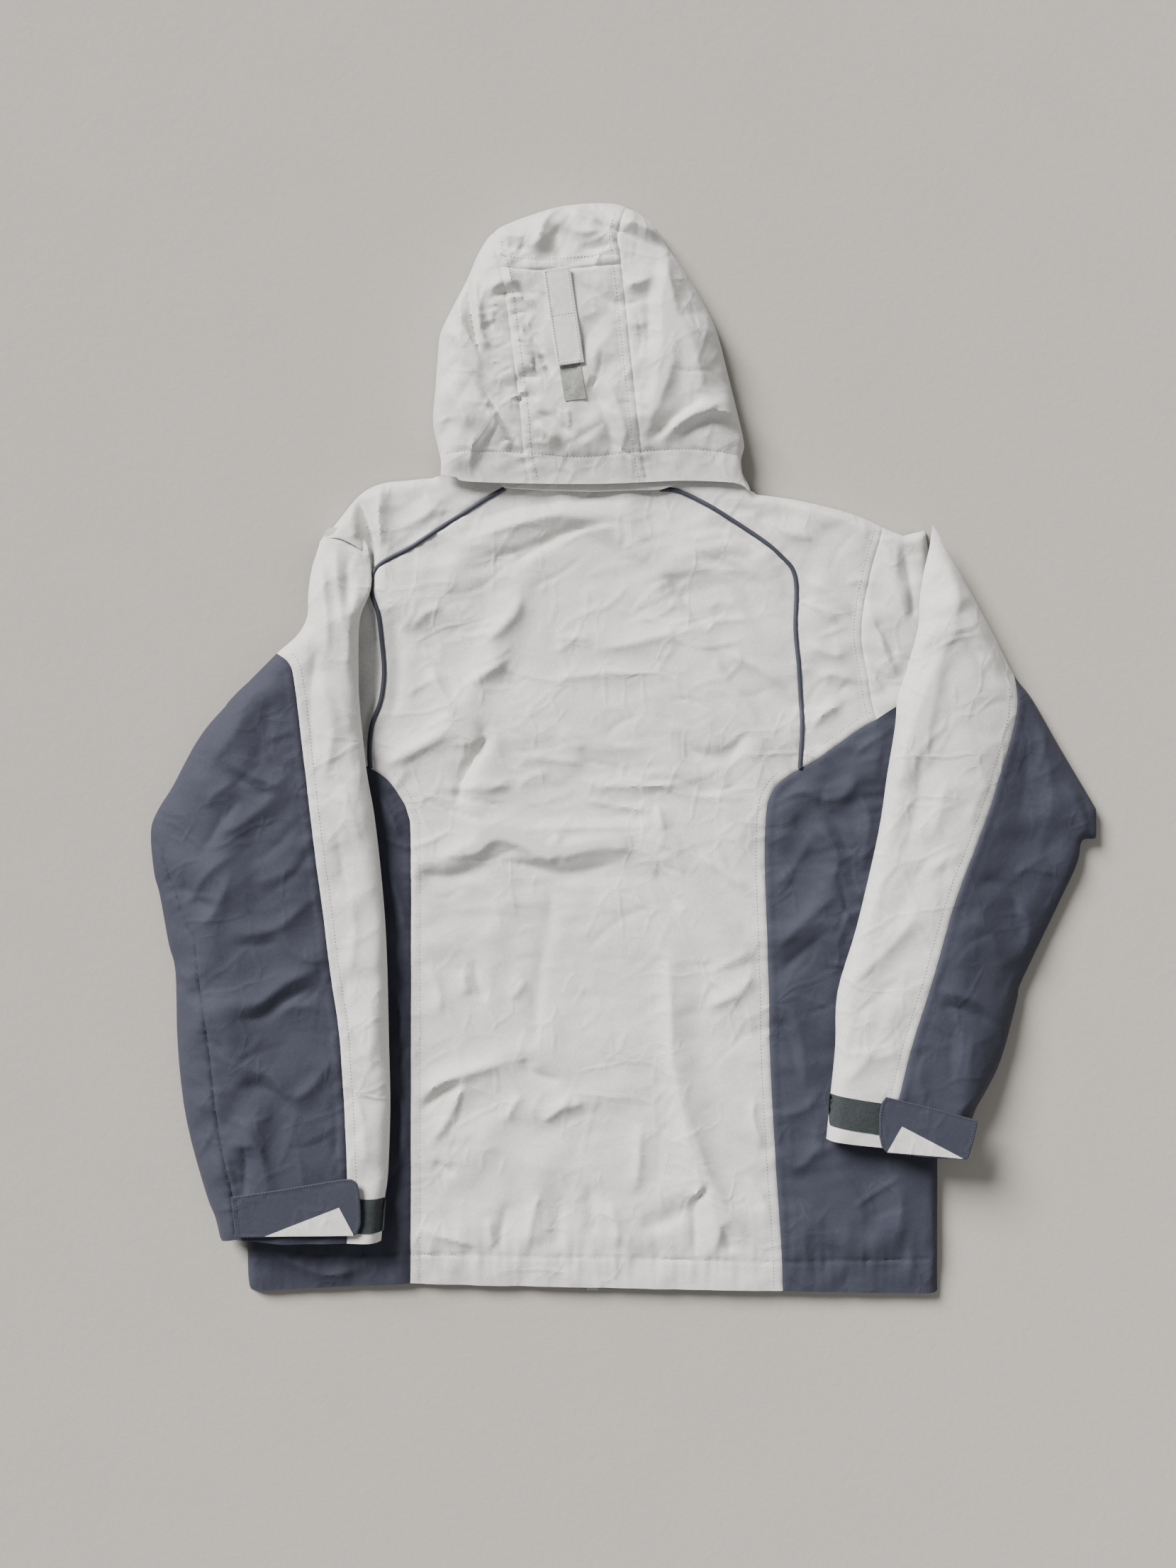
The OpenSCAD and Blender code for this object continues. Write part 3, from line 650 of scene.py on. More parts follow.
def thicken(v, f, t):
    """A closed shell of thickness t, grown downwards from a sheet whose normals point up."""
    low = v - normals(v, f) * t
    n = len(v)
    edges = dict.fromkeys((a, b) for tri in f.tolist() for a, b in zip(tri, tri[1:] + tri[:1]))
    rim = [(a, b) for a, b in edges if (b, a) not in edges]
    faces = [list(tri) for tri in f] + [[c + n, b + n, a + n] for a, b, c in f]
    faces += [[b, a, a + n, b + n] for a, b in rim]
    return np.vstack([v, low]), faces


def piece(obj, body, slot, nodes=()):
    for n in nodes:
        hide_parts(n)
    if body:
        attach(obj, body)
    return obj


RELIEF = 1.02       # length of a flat sheet over the longest span of its outline


def sheet(name, outline, height, slot, body, nodes=None, step=2.7, t=0.9, holes=(), lines=(),
          rows=(1.1, 2.6), up=True):
    """A sheet of cloth over a plan outline, at height(points).

    It stands for the CAD node of its own name unless nodes says otherwise.
    """
    p, f = triangulate(outline, step, holes, rows, lines)
    v = np.column_stack([p, height(p)])
    if not up:
        f = f[:, ::-1]
    v, faces = thicken(v, f, t)
    obj = build(name, v, faces, MATS[slot])
    long = max(np.ptp(outline, axis=0)) * RELIEF
    if nodes is None:
        nodes = [name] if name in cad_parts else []
    piece(obj, body, slot, nodes)
    return obj


def lift(line, height, up=0.0):
    """A plan line raised to a surface."""
    return np.column_stack([line, height(line) + up])


def stitches(name, lines, height, slot, body, pitch=3.1, long=2.2, wide=0.8, up=0.15):
    """Rows of sewn stitches lying on a surface; on the light shell their dark grey thread is
    partly the thread's own colour and partly painted shade of the stitch holes and grooves.
    """
    v, faces = [], []
    for line in lines:
        q = lift(resample(line, pitch / 2), height, up)
        for i in range(1, len(q) - 1, 2):
            along = q[i + 1] - q[i - 1]
            along = along / max(np.linalg.norm(along), 1e-6)
            side = np.cross(along, (0, 0, 1))
            side = side / max(np.linalg.norm(side), 1e-6)
            top = np.cross(side, along)
            b = len(v)
            v += [q[i] - along * long / 2 - top * 0.25, q[i] + along * long / 2 - top * 0.25,
                  q[i] + side * wide / 2, q[i] - side * wide / 2, q[i] + top * wide * 0.45,
                  q[i] - top * wide * 0.45]
            for a, c in ((0, 2), (2, 1), (1, 3), (3, 0)):
                faces += [[b + a, b + c, b + 4], [b + c, b + a, b + 5]]
    obj = build(name, np.array(v), faces, THREAD[slot], sharp=180)
    return piece(obj, body, slot)


def tube(name, path, radius, slot, body, sides=10, squash=1.0):
    """A round cord along a path of points in space, closed at both ends."""
    n = len(path)
    tangent = np.gradient(path, axis=0)
    tangent /= np.linalg.norm(tangent, axis=1)[:, None]
    side = np.cross(tangent, (0, 0, 1.0))
    side /= np.linalg.norm(side, axis=1)[:, None]
    top = np.cross(side, tangent)
    a = (np.arange(sides) / sides * 2 * math.pi)[None, :, None]
    v = path[:, None] + radius * (np.cos(a) * side[:, None] + squash * np.sin(a) * top[:, None])
    v = np.vstack([v.reshape(-1, 3), path[0], path[-1]])
    faces = []
    for i in range(n - 1):
        for k in range(sides):
            m = (k + 1) % sides
            faces.append([i * sides + k, (i + 1) * sides + k, (i + 1) * sides + m,
                          i * sides + m])
    for k in range(sides):
        m = (k + 1) % sides
        faces.append([n * sides, k, m])
        faces.append([n * sides + 1, (n - 1) * sides + m, (n - 1) * sides + k])
    obj = build(name, v, faces, MATS[slot])
    return piece(obj, body, slot, [name])


# ---------------------------------------------------------------- outlines of the body
NECK = pts(-107, 232, -68, 230, -29, 229, 2, 230, 32, 231)
PIPE_L = pts(-107, 232, -127, 221, -158, 201, -190, 180, -222, 161, -226, 140, -220, 120,
             -217, 95, -215, 68, -218, 42, -226, 20, -228, -4, -227, -18)
PIPE_R = pts(32, 231, 49, 229, 78, 214, 121, 186, 141, 169, 150, 158, 153, 141, 152, 107,
             155, 74, 157, 45, 158, 20, 156, -18)
SIDE_L = pts(-227, -18, -212, -28, -201, -43, -194, -58, -191, -90, -191, -266, -191, -400,
             -192, -479)
SIDE_R = pts(156, -18, 141, -28, 131, -40, 126, -59, 125, -110, 128, -207, 130, -290,
             135, -377, 140, -456, 141, -485)
UNDER_L = pts(-227, -18, -241, -10, -262, 4, -282, 16)
UNDER_R = pts(156, -18, 170, -11, 191, 4, 211, 18, 225, 26)
ARM_L = pts(-228, 171, -229, 148, -242, 130, -262, 104, -267, 70, -275, 35, -282, 16)
CAP_L = pts(-271, 188, -255, 187, -240, 180, -228, 171)
ARM_R = pts(231, 199, 221, 165, 213, 127, 211, 98, 216, 69, 221, 40, 225, 26)
SHOULDER_L = pts(-107, 232, -135, 237, -165, 243, -195, 241, -219, 238, -238, 228, -258, 204,
                 -271, 188)
SHOULDER_R = pts(32, 231, 75, 233, 112, 229, 155, 223, 203, 211, 231, 199)
HEAD_R_TOP = pts(231, 199, 242, 194, 250, 191, 262, 194, 270, 196)
HEM = pts(-336, -486, -262, -482, -192, -479, -110, -481, -29, -482, 60, -484, 141, -485,
          262, -487.5, 281, -487)
EDGE_L = pts(-282, 16, -300, 22, -320, 5, -339, -45, -340, -200, -339, -440, -338, -478,
             -336, -486)
EDGE_R = pts(276, 52, 279, 0, 281, -45, 281, -200, 281, -360, 281, -474, 281, -487)

neck = curve(NECK)
pipe_l, pipe_r = curve(PIPE_L), curve(PIPE_R)
side_l, side_r = curve(SIDE_L), curve(SIDE_R)
under_l, under_r = curve(UNDER_L), curve(UNDER_R)
arm_l, arm_r = curve(ARM_L), curve(ARM_R)
cap_l = curve(CAP_L)
shoulder_l, shoulder_r = curve(SHOULDER_L), curve(SHOULDER_R)
under_hood_l = straight(-107, 232, -108, 250, -140, 254, -162, 249, -165, 243)
under_hood_r = straight(32, 231, 36, 250, 70, 252, 104, 246, 112, 229)
hem = resample(HEM, STEP)
hem_l = hem[hem[:, 0] <= -191]
hem_m = hem[(hem[:, 0] > -192) & (hem[:, 0] < 141)]
hem_r = hem[hem[:, 0] >= 140]
edge_l, edge_r = curve(EDGE_L[3:]), curve(EDGE_R)
hem_stitch = straight(-337, -455, -192, -452, -29, -455, 140, -459, 281, -456)

INNER_L = pts(-228, 171, -226, 142, -235, 113, -236, 70, -235, 37, -229, -20, -222, -60,
              -215, -123, -211, -182, -209, -266, -208, -320, -210, -377, -213, -400,
              -216, -436)
OUTER_L = pts(-271, 188, -275, 178, -281, 140, -282, 117, -291, 100, -309, 84, -335, 58,
              -366, 28, -381, 9, -393, -12, -405, -35, -418, -56, -424, -75, -421, -112,
              -416, -131, -408, -175, -402, -200, -400, -266, -392, -333, -374, -398,
              -366, -418, -361, -438)
INNER_R = pts(273, 198, 270, 178, 264, 153, 260, 127, 259, 107, 249, 69, 241, 45, 239, 20,
              232, -23, 224, -76, 205, -158, 188, -216, 186, -263, 182, -304, 178, -346)
OUTER_R = pts(273, 198, 281, 186, 288, 172, 324, 112, 348, 66, 364, 45, 388, 3, 410, -34,
              420, -51, 422, -56, 422, -78, 420, -81, 409, -83, 405, -103, 386, -144,
              364, -190, 353, -214, 351, -226, 337, -277, 324, -304, 311, -326, 300, -362)
STRIPE_L = pts(-309, 84, -296, 74, -291, 55, -284, -3, -278, -52, -272, -103, -266, -147,
               -259, -203, -252, -249, -249, -289, -246, -345, -245, -375, -245, -436)
STRIPE_R = pts(348, 66, 348, 37, 341, 6, 324, -47, 311, -81, 291, -132, 275, -187,
               265, -221, 256, -249, 249, -273, 241, -306, 229, -352)
inner_l, inner_r = curve(INNER_L), curve(INNER_R)
outer_l, outer_r = curve(OUTER_L), curve(OUTER_R)
stripe_l, stripe_r = curve(STRIPE_L), curve(STRIPE_R)

# ---------------------------------------------------------------- the body
# In each list of folds a row is one fold: its height, below 0 for a groove, how wide it is on the
# left and on the right of its line, and x and y of the points of that line.
BODY_FOLDS = [
    (-2.0, 9, 9, -159, 197, -75, 219, 9, 225),
    (2.4, 7, 8, -154, 180, -114, 194, -58, 208, 9, 208),
    (-2.0, 7, 6, -137, 163, -92, 177, -47, 194, -7, 198),
    (-1.6, 3, 5, -106, 163, -75, 180, -52, 191),
    (2.8, 5, 8, -92, 138, -97, 121, -109, 107, -125, 93),
    (-1.2, 3, 4, -187, 90, -168, 89),
    (2.6, 8, 5, -140, 55, -125, 65, -103, 79),
    (1.6, 6, 6, -193, 104, -176, 121, -159, 126),
    (-2.4, 6, 8, -208, 129, -203, 90, -204, 48, -212, 20),
    (2.2, 7, 8, -176, 81, -165, 53, -151, 31, -137, 22),
    (3.4, 8, 5, -216, -17, -175, 4, -140, 25),
    (-3.0, 6, 8, -137, 28, -124, 11, -134, -9, -145, -28, -150, -60),
    (2.6, 8, 7, 83, 87, 83, 65, 102, 39, 113, 14),
    (-2.6, 8, 8, 43, 20, 60, -3, 91, -8, 113, 22),
    (2.0, 7, 7, 83, 87, 122, 70, 144, 50),
    (1.1, 7, 5, -75, 59, -30, 65, 35, 67),
    (1.1, 7, 5, -30, 87, 9, 93, 57, 108),
    (1.0, 6, 5, -64, 98, -27, 98),
    (1.2, 6, 5, -61, 14, -47, 6, -35, -3),
    (1.2, 6, 5, -92, -8, -58, -11, -30, -14),
    (-1.8, 8, 8, 35, 157, 49, 138, 66, 115, 83, 104),
    (1.4, 6, 7, 1, 186, 21, 166),
    (4.6, 11, 5, -170, -97, -135, -92, -118, -79, -99, -81, -81, -90, -66, -108),
    (2.2, 6, 6, -69, -106, -64, -90, -57, -74),
    (3.2, 10, 5, -55, -106, -48, -92, -19, -86, 10, -91),
    (-3.2, 7, 10, -189, -108, -164, -115, -138, -110, -120, -100),
    (-2.0, 5, 8, -120, -100, -90, -104, -50, -112, 0, -100),
    (1.8, 8, 6, -142, -70, -91, -74, -41, -70, 32, -70),
    (1.8, 7, 5, -171, -34, -135, -36, -91, -32),
    (1.6, 6, 5, -41, -27, -19, -34, 24, -34, 60, -30),
    (1.6, 6, 5, -48, -41, -19, -50, 32, -56),
    (1.6, 5, 5, 28, -50, 35, -76),
    (-1.8, 7, 7, 24, -103, 42, -132, 53, -146),
    (1.8, 8, 6, 60, -92, 97, -117, 115, -132),
    (1.6, 9, 4, 37, -178, 39, -218, 42, -280),
    (-1.4, 7, 9, -70, -110, -66, -139, -70, -168, -77, -211, -80, -276),
    (1.5, 6, 8, -182, -190, -167, -211, -164, -240),
    (1.4, 5, 6, -144, -197, -140, -222),
    (-1.4, 5, 6, -135, -186, -131, -211, -120, -229),
    (1.3, 6, 5, -102, -226, -88, -205),
    (1.6, 8, 6, 68, -233, 100, -218, 118, -197),
    (1.4, 7, 6, 79, -197, 115, -179),
    # lower back
    (2.4, 9, 2.6, 38, -250, 42, -285, 49, -316, 57, -345, 66, -378),
    (3.4, 12, 9, 44, -330, 66, -370, 81, -404, 83, -437, 70, -456),
    (-2.4, 5, 5, 72, -372, 73, -392, 62, -407, 63, -436, 62, -458),
    (1.8, 5, 4, 64, -372, 68, -388, 56, -404),
    (-2.0, 6, 6, 84, -418, 95, -453),
    (-2.4, 14, 9, 10, -428, 34, -424, 60, -408),
    (2.4, 8, 6, -186, -318, -166, -299, -142, -290, -100, -278),
    (-2.4, 6, 9, -186, -326, -160, -306, -138, -298),
    (1.9, 6, 9, -140, -288, -154, -323, -176, -358),
    (-1.6, 4, 6, -172, -368, -150, -381),
    (1.8, 5, 5, -184, -426, -166, -434, -148, -439, -126, -447),
    (1.6, 5, 7, -107, -336, -100, -318, -90, -309),
    (1.9, 7, 4, -76, -335, -60, -323, -46, -310),
    (1.3, 6, 4, -58, -323, -36, -315),
    (-1.8, 7, 8, -88, -268, -84, -289, -52, -298),
    (1.5, 7, 8, 14, -330, 12, -370, 8, -400),
    (-1.6, 7, 7, -34, -384, -29, -412, -30, -440),
    (1.7, 8, 6, -17, -400, -8, -425, -8, -448),
    (-1.6, 6, 6, -55, -396, -60, -425, -58, -450),
    (1.5, 6, 6, -75, -392, -84, -424, -86, -450),
    (-1.4, 5, 6, -104, -404, -110, -430, -112, -452),
    (1.4, 5, 5, -122, -416, -118, -450),
    (1.5, 5, 5, 116, -308, 114, -330, 125, -360),
    (1.3, 5, 5, 104, -380, 122, -400, 130, -424),
    # right yoke and sleeve cap
    (1.6, 6, 7, 160, 150, 180, 140, 205, 118),
    (1.6, 6, 6, 158, 130, 176, 122, 190, 113),
    (1.4, 6, 6, 162, 96, 180, 84, 200, 84),
    (1.5, 6, 6, 170, 60, 186, 66, 208, 58),
    (2.0, 6, 6, 162, 10, 176, 30, 196, 40),
    (-1.8, 6, 6, 160, 24, 168, 6, 178, 0),
    (1.4, 7, 7, 118, 206, 150, 190, 176, 188),
    (-1.5, 7, 7, 70, 200, 100, 190, 126, 170),
    (2.2, 6, 6, 224, 190, 236, 168, 242, 140, 256, 112),
    (-2.2, 6, 6, 246, 186, 252, 160, 256, 134, 257, 110),
    (2.0, 6, 7, 210, 132, 226, 104, 232, 84, 246, 58),
    (-1.8, 6, 6, 218, 120, 236, 92, 244, 74),
    (1.5, 5, 6, 214, 84, 222, 64, 232, 48),
    # left shoulder
    (-6.0, 4, 8, -246, 240, -236, 218, -229, 194, -226, 168, -227, 130),
    (3.0, 9, 4, -216, 240, -219, 222, -219, 200, -217, 176),
    (2.2, 4, 7, -246, 224, -241, 208, -235, 190),
    (2.0, 6, 6, -246, 214, -243, 198, -236, 184),
    (1.3, 6, 6, -205, 196, -180, 206, -160, 226),
    (-1.3, 6, 6, -196, 220, -176, 226),
    # right side panel
    (2.8, 7, 6, 140, -44, 160, -40, 182, -46, 198, -40, 210, -20),
    (-2.2, 6, 6, 150, -58, 158, -72, 164, -84),
    (2.4, 5, 7, 168, -58, 182, -80, 190, -100, 184, -122),
    (-2.2, 5, 7, 178, -58, 192, -74, 200, -96),
    (2.0, 7, 5, 130, -128, 148, -110, 168, -80),
    (2.2, 8, 5, 128, -186, 150, -164, 176, -140, 198, -124),
    (-2.0, 6, 8, 134, -204, 156, -184, 184, -160),
    (2.2, 6, 6, 196, -30, 214, -50, 218, -80, 206, -120),
    (-1.6, 6, 6, 136, -230, 148, -262, 156, -300),
    (1.8, 6, 6, 146, -226, 158, -268, 160, -310),
    (1.8, 7, 6, 133, -328, 160, -322, 178, -300),
    (2.4, 7, 7, 134, -352, 152, -374, 172, -356, 186, -332),
    (-1.8, 8, 8, 140, -392, 170, -412, 196, -440),
    (1.6, 8, 8, 180, -368, 205, -398, 214, -430),
    (1.6, 9, 9, 238, -372, 246, -410, 242, -446),
    # left side panel
    (1.6, 5, 5, -222, -40, -208, -60, -200, -84),
    (1.3, 5, 5, -212, -110, -200, -140, -197, -170),
    (1.4, 5, 5, -208, -212, -198, -238, -202, -270),
    (1.3, 5, 5, -206, -300, -197, -330, -200, -372),
    (2.0, 8, 7, -320, -446, -290, -462, -262, -470, -230, -462),
    (-1.5, 8, 7, -250, -446, -222, -458, -205, -476),
]

BODY_CREASES = (
    creases(1, 30, (-215, 60, 150, 225), 25, 22, (25, 90), (0.4, 1.1), (1.5, 4))
    + creases(2, 34, (-200, -130, 150, 60), 4, 16, (30, 100), (0.5, 1.3), (1.5, 4))
    + creases(3, 16, (-190, -440, 140, -140), 80, 22, (30, 110), (0.3, 0.8), (2, 5))
    + creases(4, 22, (150, -20, 270, 225), 30, 35, (18, 60), (0.4, 1.2), (1.5, 4))
    + creases(5, 20, (125, -440, 280, -20), 50, 40, (25, 80), (0.5, 1.3), (2, 5))
    + creases(6, 16, (-280, -480, -192, 240), 80, 35, (16, 50), (0.4, 1.2), (2, 5)))
# the outer edges where the back rounds down to the floor
round_l = np.vstack([shoulder_l[shoulder_l[:, 0] < -172], spline(pts(
    -271, 188, -275, 160, -278, 118, -286, 92, -302, 50, -320, 5, -339, -45))[1:], edge_l[1:]])
round_r = np.vstack([shoulder_r[shoulder_r[:, 0] > 118], HEAD_R_TOP[1:], spline(pts(
    270, 196, 273, 172, 274, 140, 275, 100, 276, 52))[1:], edge_r[1:]])


def busy(p, seed, size=150):
    """How wrinkled the cloth is from place to place, 0 to 1."""
    return smooth(0.5 + 0.9 * noise(p[:, 0] / size, p[:, 1] / size, seed))


def body_start(p):
    """Heights that the back of the body falls from."""
    z = 1.2 * crumple(p, 70, 10, 1.5, 0.25) + 0.4 * crumple(p, 28, 20)
    return folds(z, p, BODY_FOLDS, 0.8)


def body_held(p):
    """The points of the back that are held while it falls: outside its rim or on a seam."""
    rim = (p[:, 0] < -338) | (p[:, 0] > 278) | (p[:, 1] < -484) | (p[:, 1] > 232)
    return rim | along_seam(p, (pipe_l, pipe_r, side_l, side_r, hem_stitch, arm_r, under_r))


BODY_TOP = 15.2         # height of the back where it lies plain
UNDER_SLEEVE = 17.6     # the highest that the back gets under a sleeve
FLOOR_GAP = 2.2         # height of the body's outer edges
body_drape = drape("body_fall", (-342, -490, 285, 236), body_start, body_held)


def body_folds(p, z):
    """Heights of the back of the body with its folds and creases, from plain heights z."""
    x, y = p[:, 0], p[:, 1]
    large = 2.2 + 1.8 * smooth((y + 150) / 60)
    small = (0.45 + 0.75 * smooth((y + 190) / 90)) * busy(p, 17)
    out = z + 0.7 * body_drape(p) + large * facets(p, 58, 20, 1.5, 0.3) + small * (
        2.0 * facets(p, 27, 30, 1.6, -0.3) + 0.9 * facets(p, 13, 40, 1.4, 0.5))
    right_side = smooth((x - 120) / 12) * smooth((30 - y) / 20)
    out = folds(out, p, BODY_FOLDS, 1.9 - 1.2 * right_side)
    out = folds(out, p, BODY_CREASES, 1.6)
    shoulder_tuck = 6.0 * np.exp(-((x + 232) / 13) ** 2) * smooth((y - 150) / 15)
    return -soft_min(-out, 3.4 + shoulder_tuck - z, 2.0)


def body_z(p, detail=1):
    """Height of the back of the body; detail is 0 for its plain shape."""
    x, y = p[:, 0], p[:, 1]
    z = BODY_TOP + 1.3 * noise(x / 150, y / 150, 1)
    if detail:
        z = body_folds(p, z)
    tucked = smooth((-1 - near(pipe_l, p)[0]) / 6) * smooth((y + 10) / 30) * smooth((152 - y) / 20)
    z -= 4.5 * tucked * (x < -205)
    gather = noise(x / 7.5, y / 60, 71) + 0.7 * noise(x / 14, y / 60, 72)
    z += detail * 1.5 * gather * np.exp(-apart(hem_stitch, p) / 18)
    z -= 5.0 * smooth((-432 - y) / 56)
    # lower under the sleeves, free between them and past their cuffs
    beside_sleeve = np.minimum(np.where(y < 175, near(inner_l, p)[0], 40),
                               np.where(y < 205, -near(inner_r, p)[0], 40))
    past_cuff = smooth((np.where(x < 0, -436, -350) - y) / 14)
    free = np.maximum(smooth((beside_sleeve - 3) / 15), past_cuff)
    z = soft_min(z, UNDER_SLEEVE + 5.5 * free)
    z = soft_min(z, 23 - 4.5 * smooth((y - 205) / 20))
    if detail:
        for k, (line, raised) in enumerate(((pipe_l, 0), (pipe_r, 0), (side_l, 0.6),
                                            (side_r, 0.6), (under_r, 0.6), (under_l, 0.6),
                                            (arm_r, -0.6), (hem_stitch, 0))):
            z = seam(z, p, line, seed=k, raised=raised, depth=1.2, pucker=0.55)
        z = seam(z, p, cap_l, seed=9, depth=0.6)
    for line in (round_l, round_r):
        z = FLOOR_GAP + (z - FLOOR_GAP) * dome(apart(line, p), 11)
    return z


back = ring(neck, pipe_r, side_r, hem_m[::-1], side_l[::-1], pipe_l[::-1])
yoke_l = ring(pipe_l, under_l, arm_l[::-1], cap_l[::-1],
              shoulder_l[shoulder_l[:, 0] < -166][::-1], under_hood_l[::-1])
yoke_r = ring(pipe_r, under_r, arm_r[::-1], shoulder_r[shoulder_r[:, 0] > 113][::-1],
              under_hood_r[::-1])
flank_l = ring(side_l, hem_l[::-1], edge_l[::-1],
               straight(-339, -45, -320, 5, -300, 22, -282, 16), under_l[::-1])
cut_r = straight(225, 26, 228, 0, 231, -30, 240, -60, 281, -105)
edge_low = edge_r[edge_r[:, 1] < -105.5]
flank_r = ring(side_r, hem_r, edge_low[::-1], cut_r[::-1], under_r[::-1])
gusset = ring(cut_r, edge_r[edge_r[:, 1] > -104.5][::-1],
              straight(276, 52, 250, 41, 240, 36, 225, 26))
head_r = ring(arm_r, straight(225, 26, 240, 36, 250, 41, 276, 52),
              curve(pts(276, 52, 275, 100, 274, 140, 273, 172, 270, 196)),
              curve(HEAD_R_TOP)[::-1])
head_l = ring(arm_l[arm_l[:, 1] < 168], straight(-282, 16, -300, 22),
              curve(pts(-300, 22, -302, 50, -286, 92, -276, 122, -262, 150, -240, 169)))

for name, outline, slot in (("back_panel", back, "light_shell"),
                            ("back_yoke_left", yoke_l, "light_shell"),
                            ("back_yoke_right", yoke_r, "light_shell"),
                            ("side_panel_left", flank_l, "navy_shell"),
                            ("side_panel_right", flank_r, "navy_shell")):
    sheet(name, outline, body_z, slot, "torso")
for name, outline, slot in (("sleeve_head_right", head_r, "light_shell"),
                            ("underarm_gusset_right", gusset, "navy_shell")):
    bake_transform(sheet(name, outline, body_z, slot, None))
sheet("sleeve_head_left", head_l, lambda p: body_z(p) - 3, "light_shell", "torso")

for side, line in (("left", pipe_l), ("right", pipe_r)):
    path = lift(line, body_z, 1.1)
    path[:, 2] = np.convolve(np.pad(path[:, 2], 2, "edge"), np.ones(5) / 5, "valid")
    tube("piping_" + side, path, 2.05, "piping", "torso", squash=0.9)

stitches("stitch_back", [beside(side_l, 8)[6:], beside(side_r, -8)[6:], beside(under_r, 8)[3:],
                         beside(arm_r, -7), beside(under_l, 8)[2:-3]], body_z, "light_shell",
         "torso")
mid = (hem_stitch[:, 0] > -192) & (hem_stitch[:, 0] < 141)
stitches("stitch_hem", [hem_stitch[mid]], body_z, "light_shell", "torso")
stitches("stitch_hem_sides", [hem_stitch[hem_stitch[:, 0] < -193],
                              hem_stitch[hem_stitch[:, 0] > 142]], body_z, "navy_shell",
         "torso")

# ---------------------------------------------------------------- sleeves
LEFT_FOLDS = [
    (2.6, 7, 6, -357, -7, -331, -24, -308, -32, -281, -44),
    (-2.4, 7, 6, -356, -18, -330, -34, -306, -44),
    (3.0, 7, 7, -338, -29, -362, -42, -370, -56),
    (-3.0, 7, 7, -330, -40, -350, -58, -366, -82, -380, -104),
    (2.6, 7, 8, -367, -76, -341, -70, -328, -60, -304, -39),
    (3.2, 8, 7, -389, -146, -376, -122, -362, -106, -340, -92),
    (-3.0, 8, 8, -396, -120, -384, -128, -368, -140, -352, -138),
    (2.6, 7, 7, -385, -162, -366, -150, -352, -126, -346, -104),
    (-2.0, 7, 7, -336, -100, -318, -96, -300, -80, -284, -60),
    (2.0, 8, 8, -330, -120, -304, -113, -280, -100),
    (2.6, 8, 6, -352, -164, -328, -164, -304, -158, -281, -138, -266, -128),
    (-2.2, 6, 6, -350, -174, -326, -174, -302, -170),
    (2.2, 7, 6, -306, -160, -288, -182, -262, -190),
    (3.0, 8, 6, -350, -226, -325, -226, -304, -212, -294, -205, -262, -192),
    (-3.2, 6, 7, -350, -238, -322, -238, -302, -224, -286, -216, -266, -206),
    (2.2, 7, 6, -306, -234, -292, -228, -268, -228),
    (3.0, 8, 7, -344, -290, -331, -284, -311, -289, -294, -306, -277, -300, -252, -264),
    (-2.6, 7, 7, -344, -302, -326, -298, -308, -304, -292, -322),
    (2.2, 6, 6, -412, -172, -402, -195, -386, -206, -378, -214),
    (-2.2, 6, 6, -414, -186, -400, -206, -384, -216),
    (-2.0, 7, 7, -374, -240, -360, -262, -346, -262),
    (3.4, 6, 5, -356, -352, -344, -350, -334, -350, -322, -352, -314, -392),
    (-5.0, 3.6, 4.8, -336, -342, -334, -368, -336, -402),
    (2.4, 5, 5, -338, -328, -328, -344, -322, -360),
    (-2.4, 5, 5, -352, -360, -343, -372, -342, -392),
    (1.8, 9, 9, -330, 40, -346, 8, -372, -20),
    (-1.6, 10, 10, -310, 50, -318, 10, -330, -12),
    # light stripe
    (3.4, 10, 8, -278, 66, -262, 40, -258, 6, -268, -36),
    (-3.0, 6, 8, -268, 100, -275, 60, -276, 20, -272, -20),
    (2.6, 6, 5, -258, 188, -256, 160, -250, 120, -246, 92),
    (-2.4, 5, 5, -246, 176, -247, 150, -243, 116),
    (2.6, 6, 6, -270, 176, -266, 140, -262, 104, -264, 70),
    (2.0, 5, 5, -236, 165, -238, 130, -243, 100, -246, 60),
    (1.6, 6, 6, -250, -30, -242, -54, -230, -92),
    (-1.6, 6, 6, -254, -60, -250, -100, -240, -150),
    (1.8, 6, 8, -246, -120, -238, -160, -244, -210),
    (-1.8, 6, 6, -240, -190, -247, -222, -230, -268),
    (1.5, 6, 6, -224, -210, -222, -250, -228, -290),
    (1.5, 5, 6, -236, -300, -230, -340, -226, -372),
]
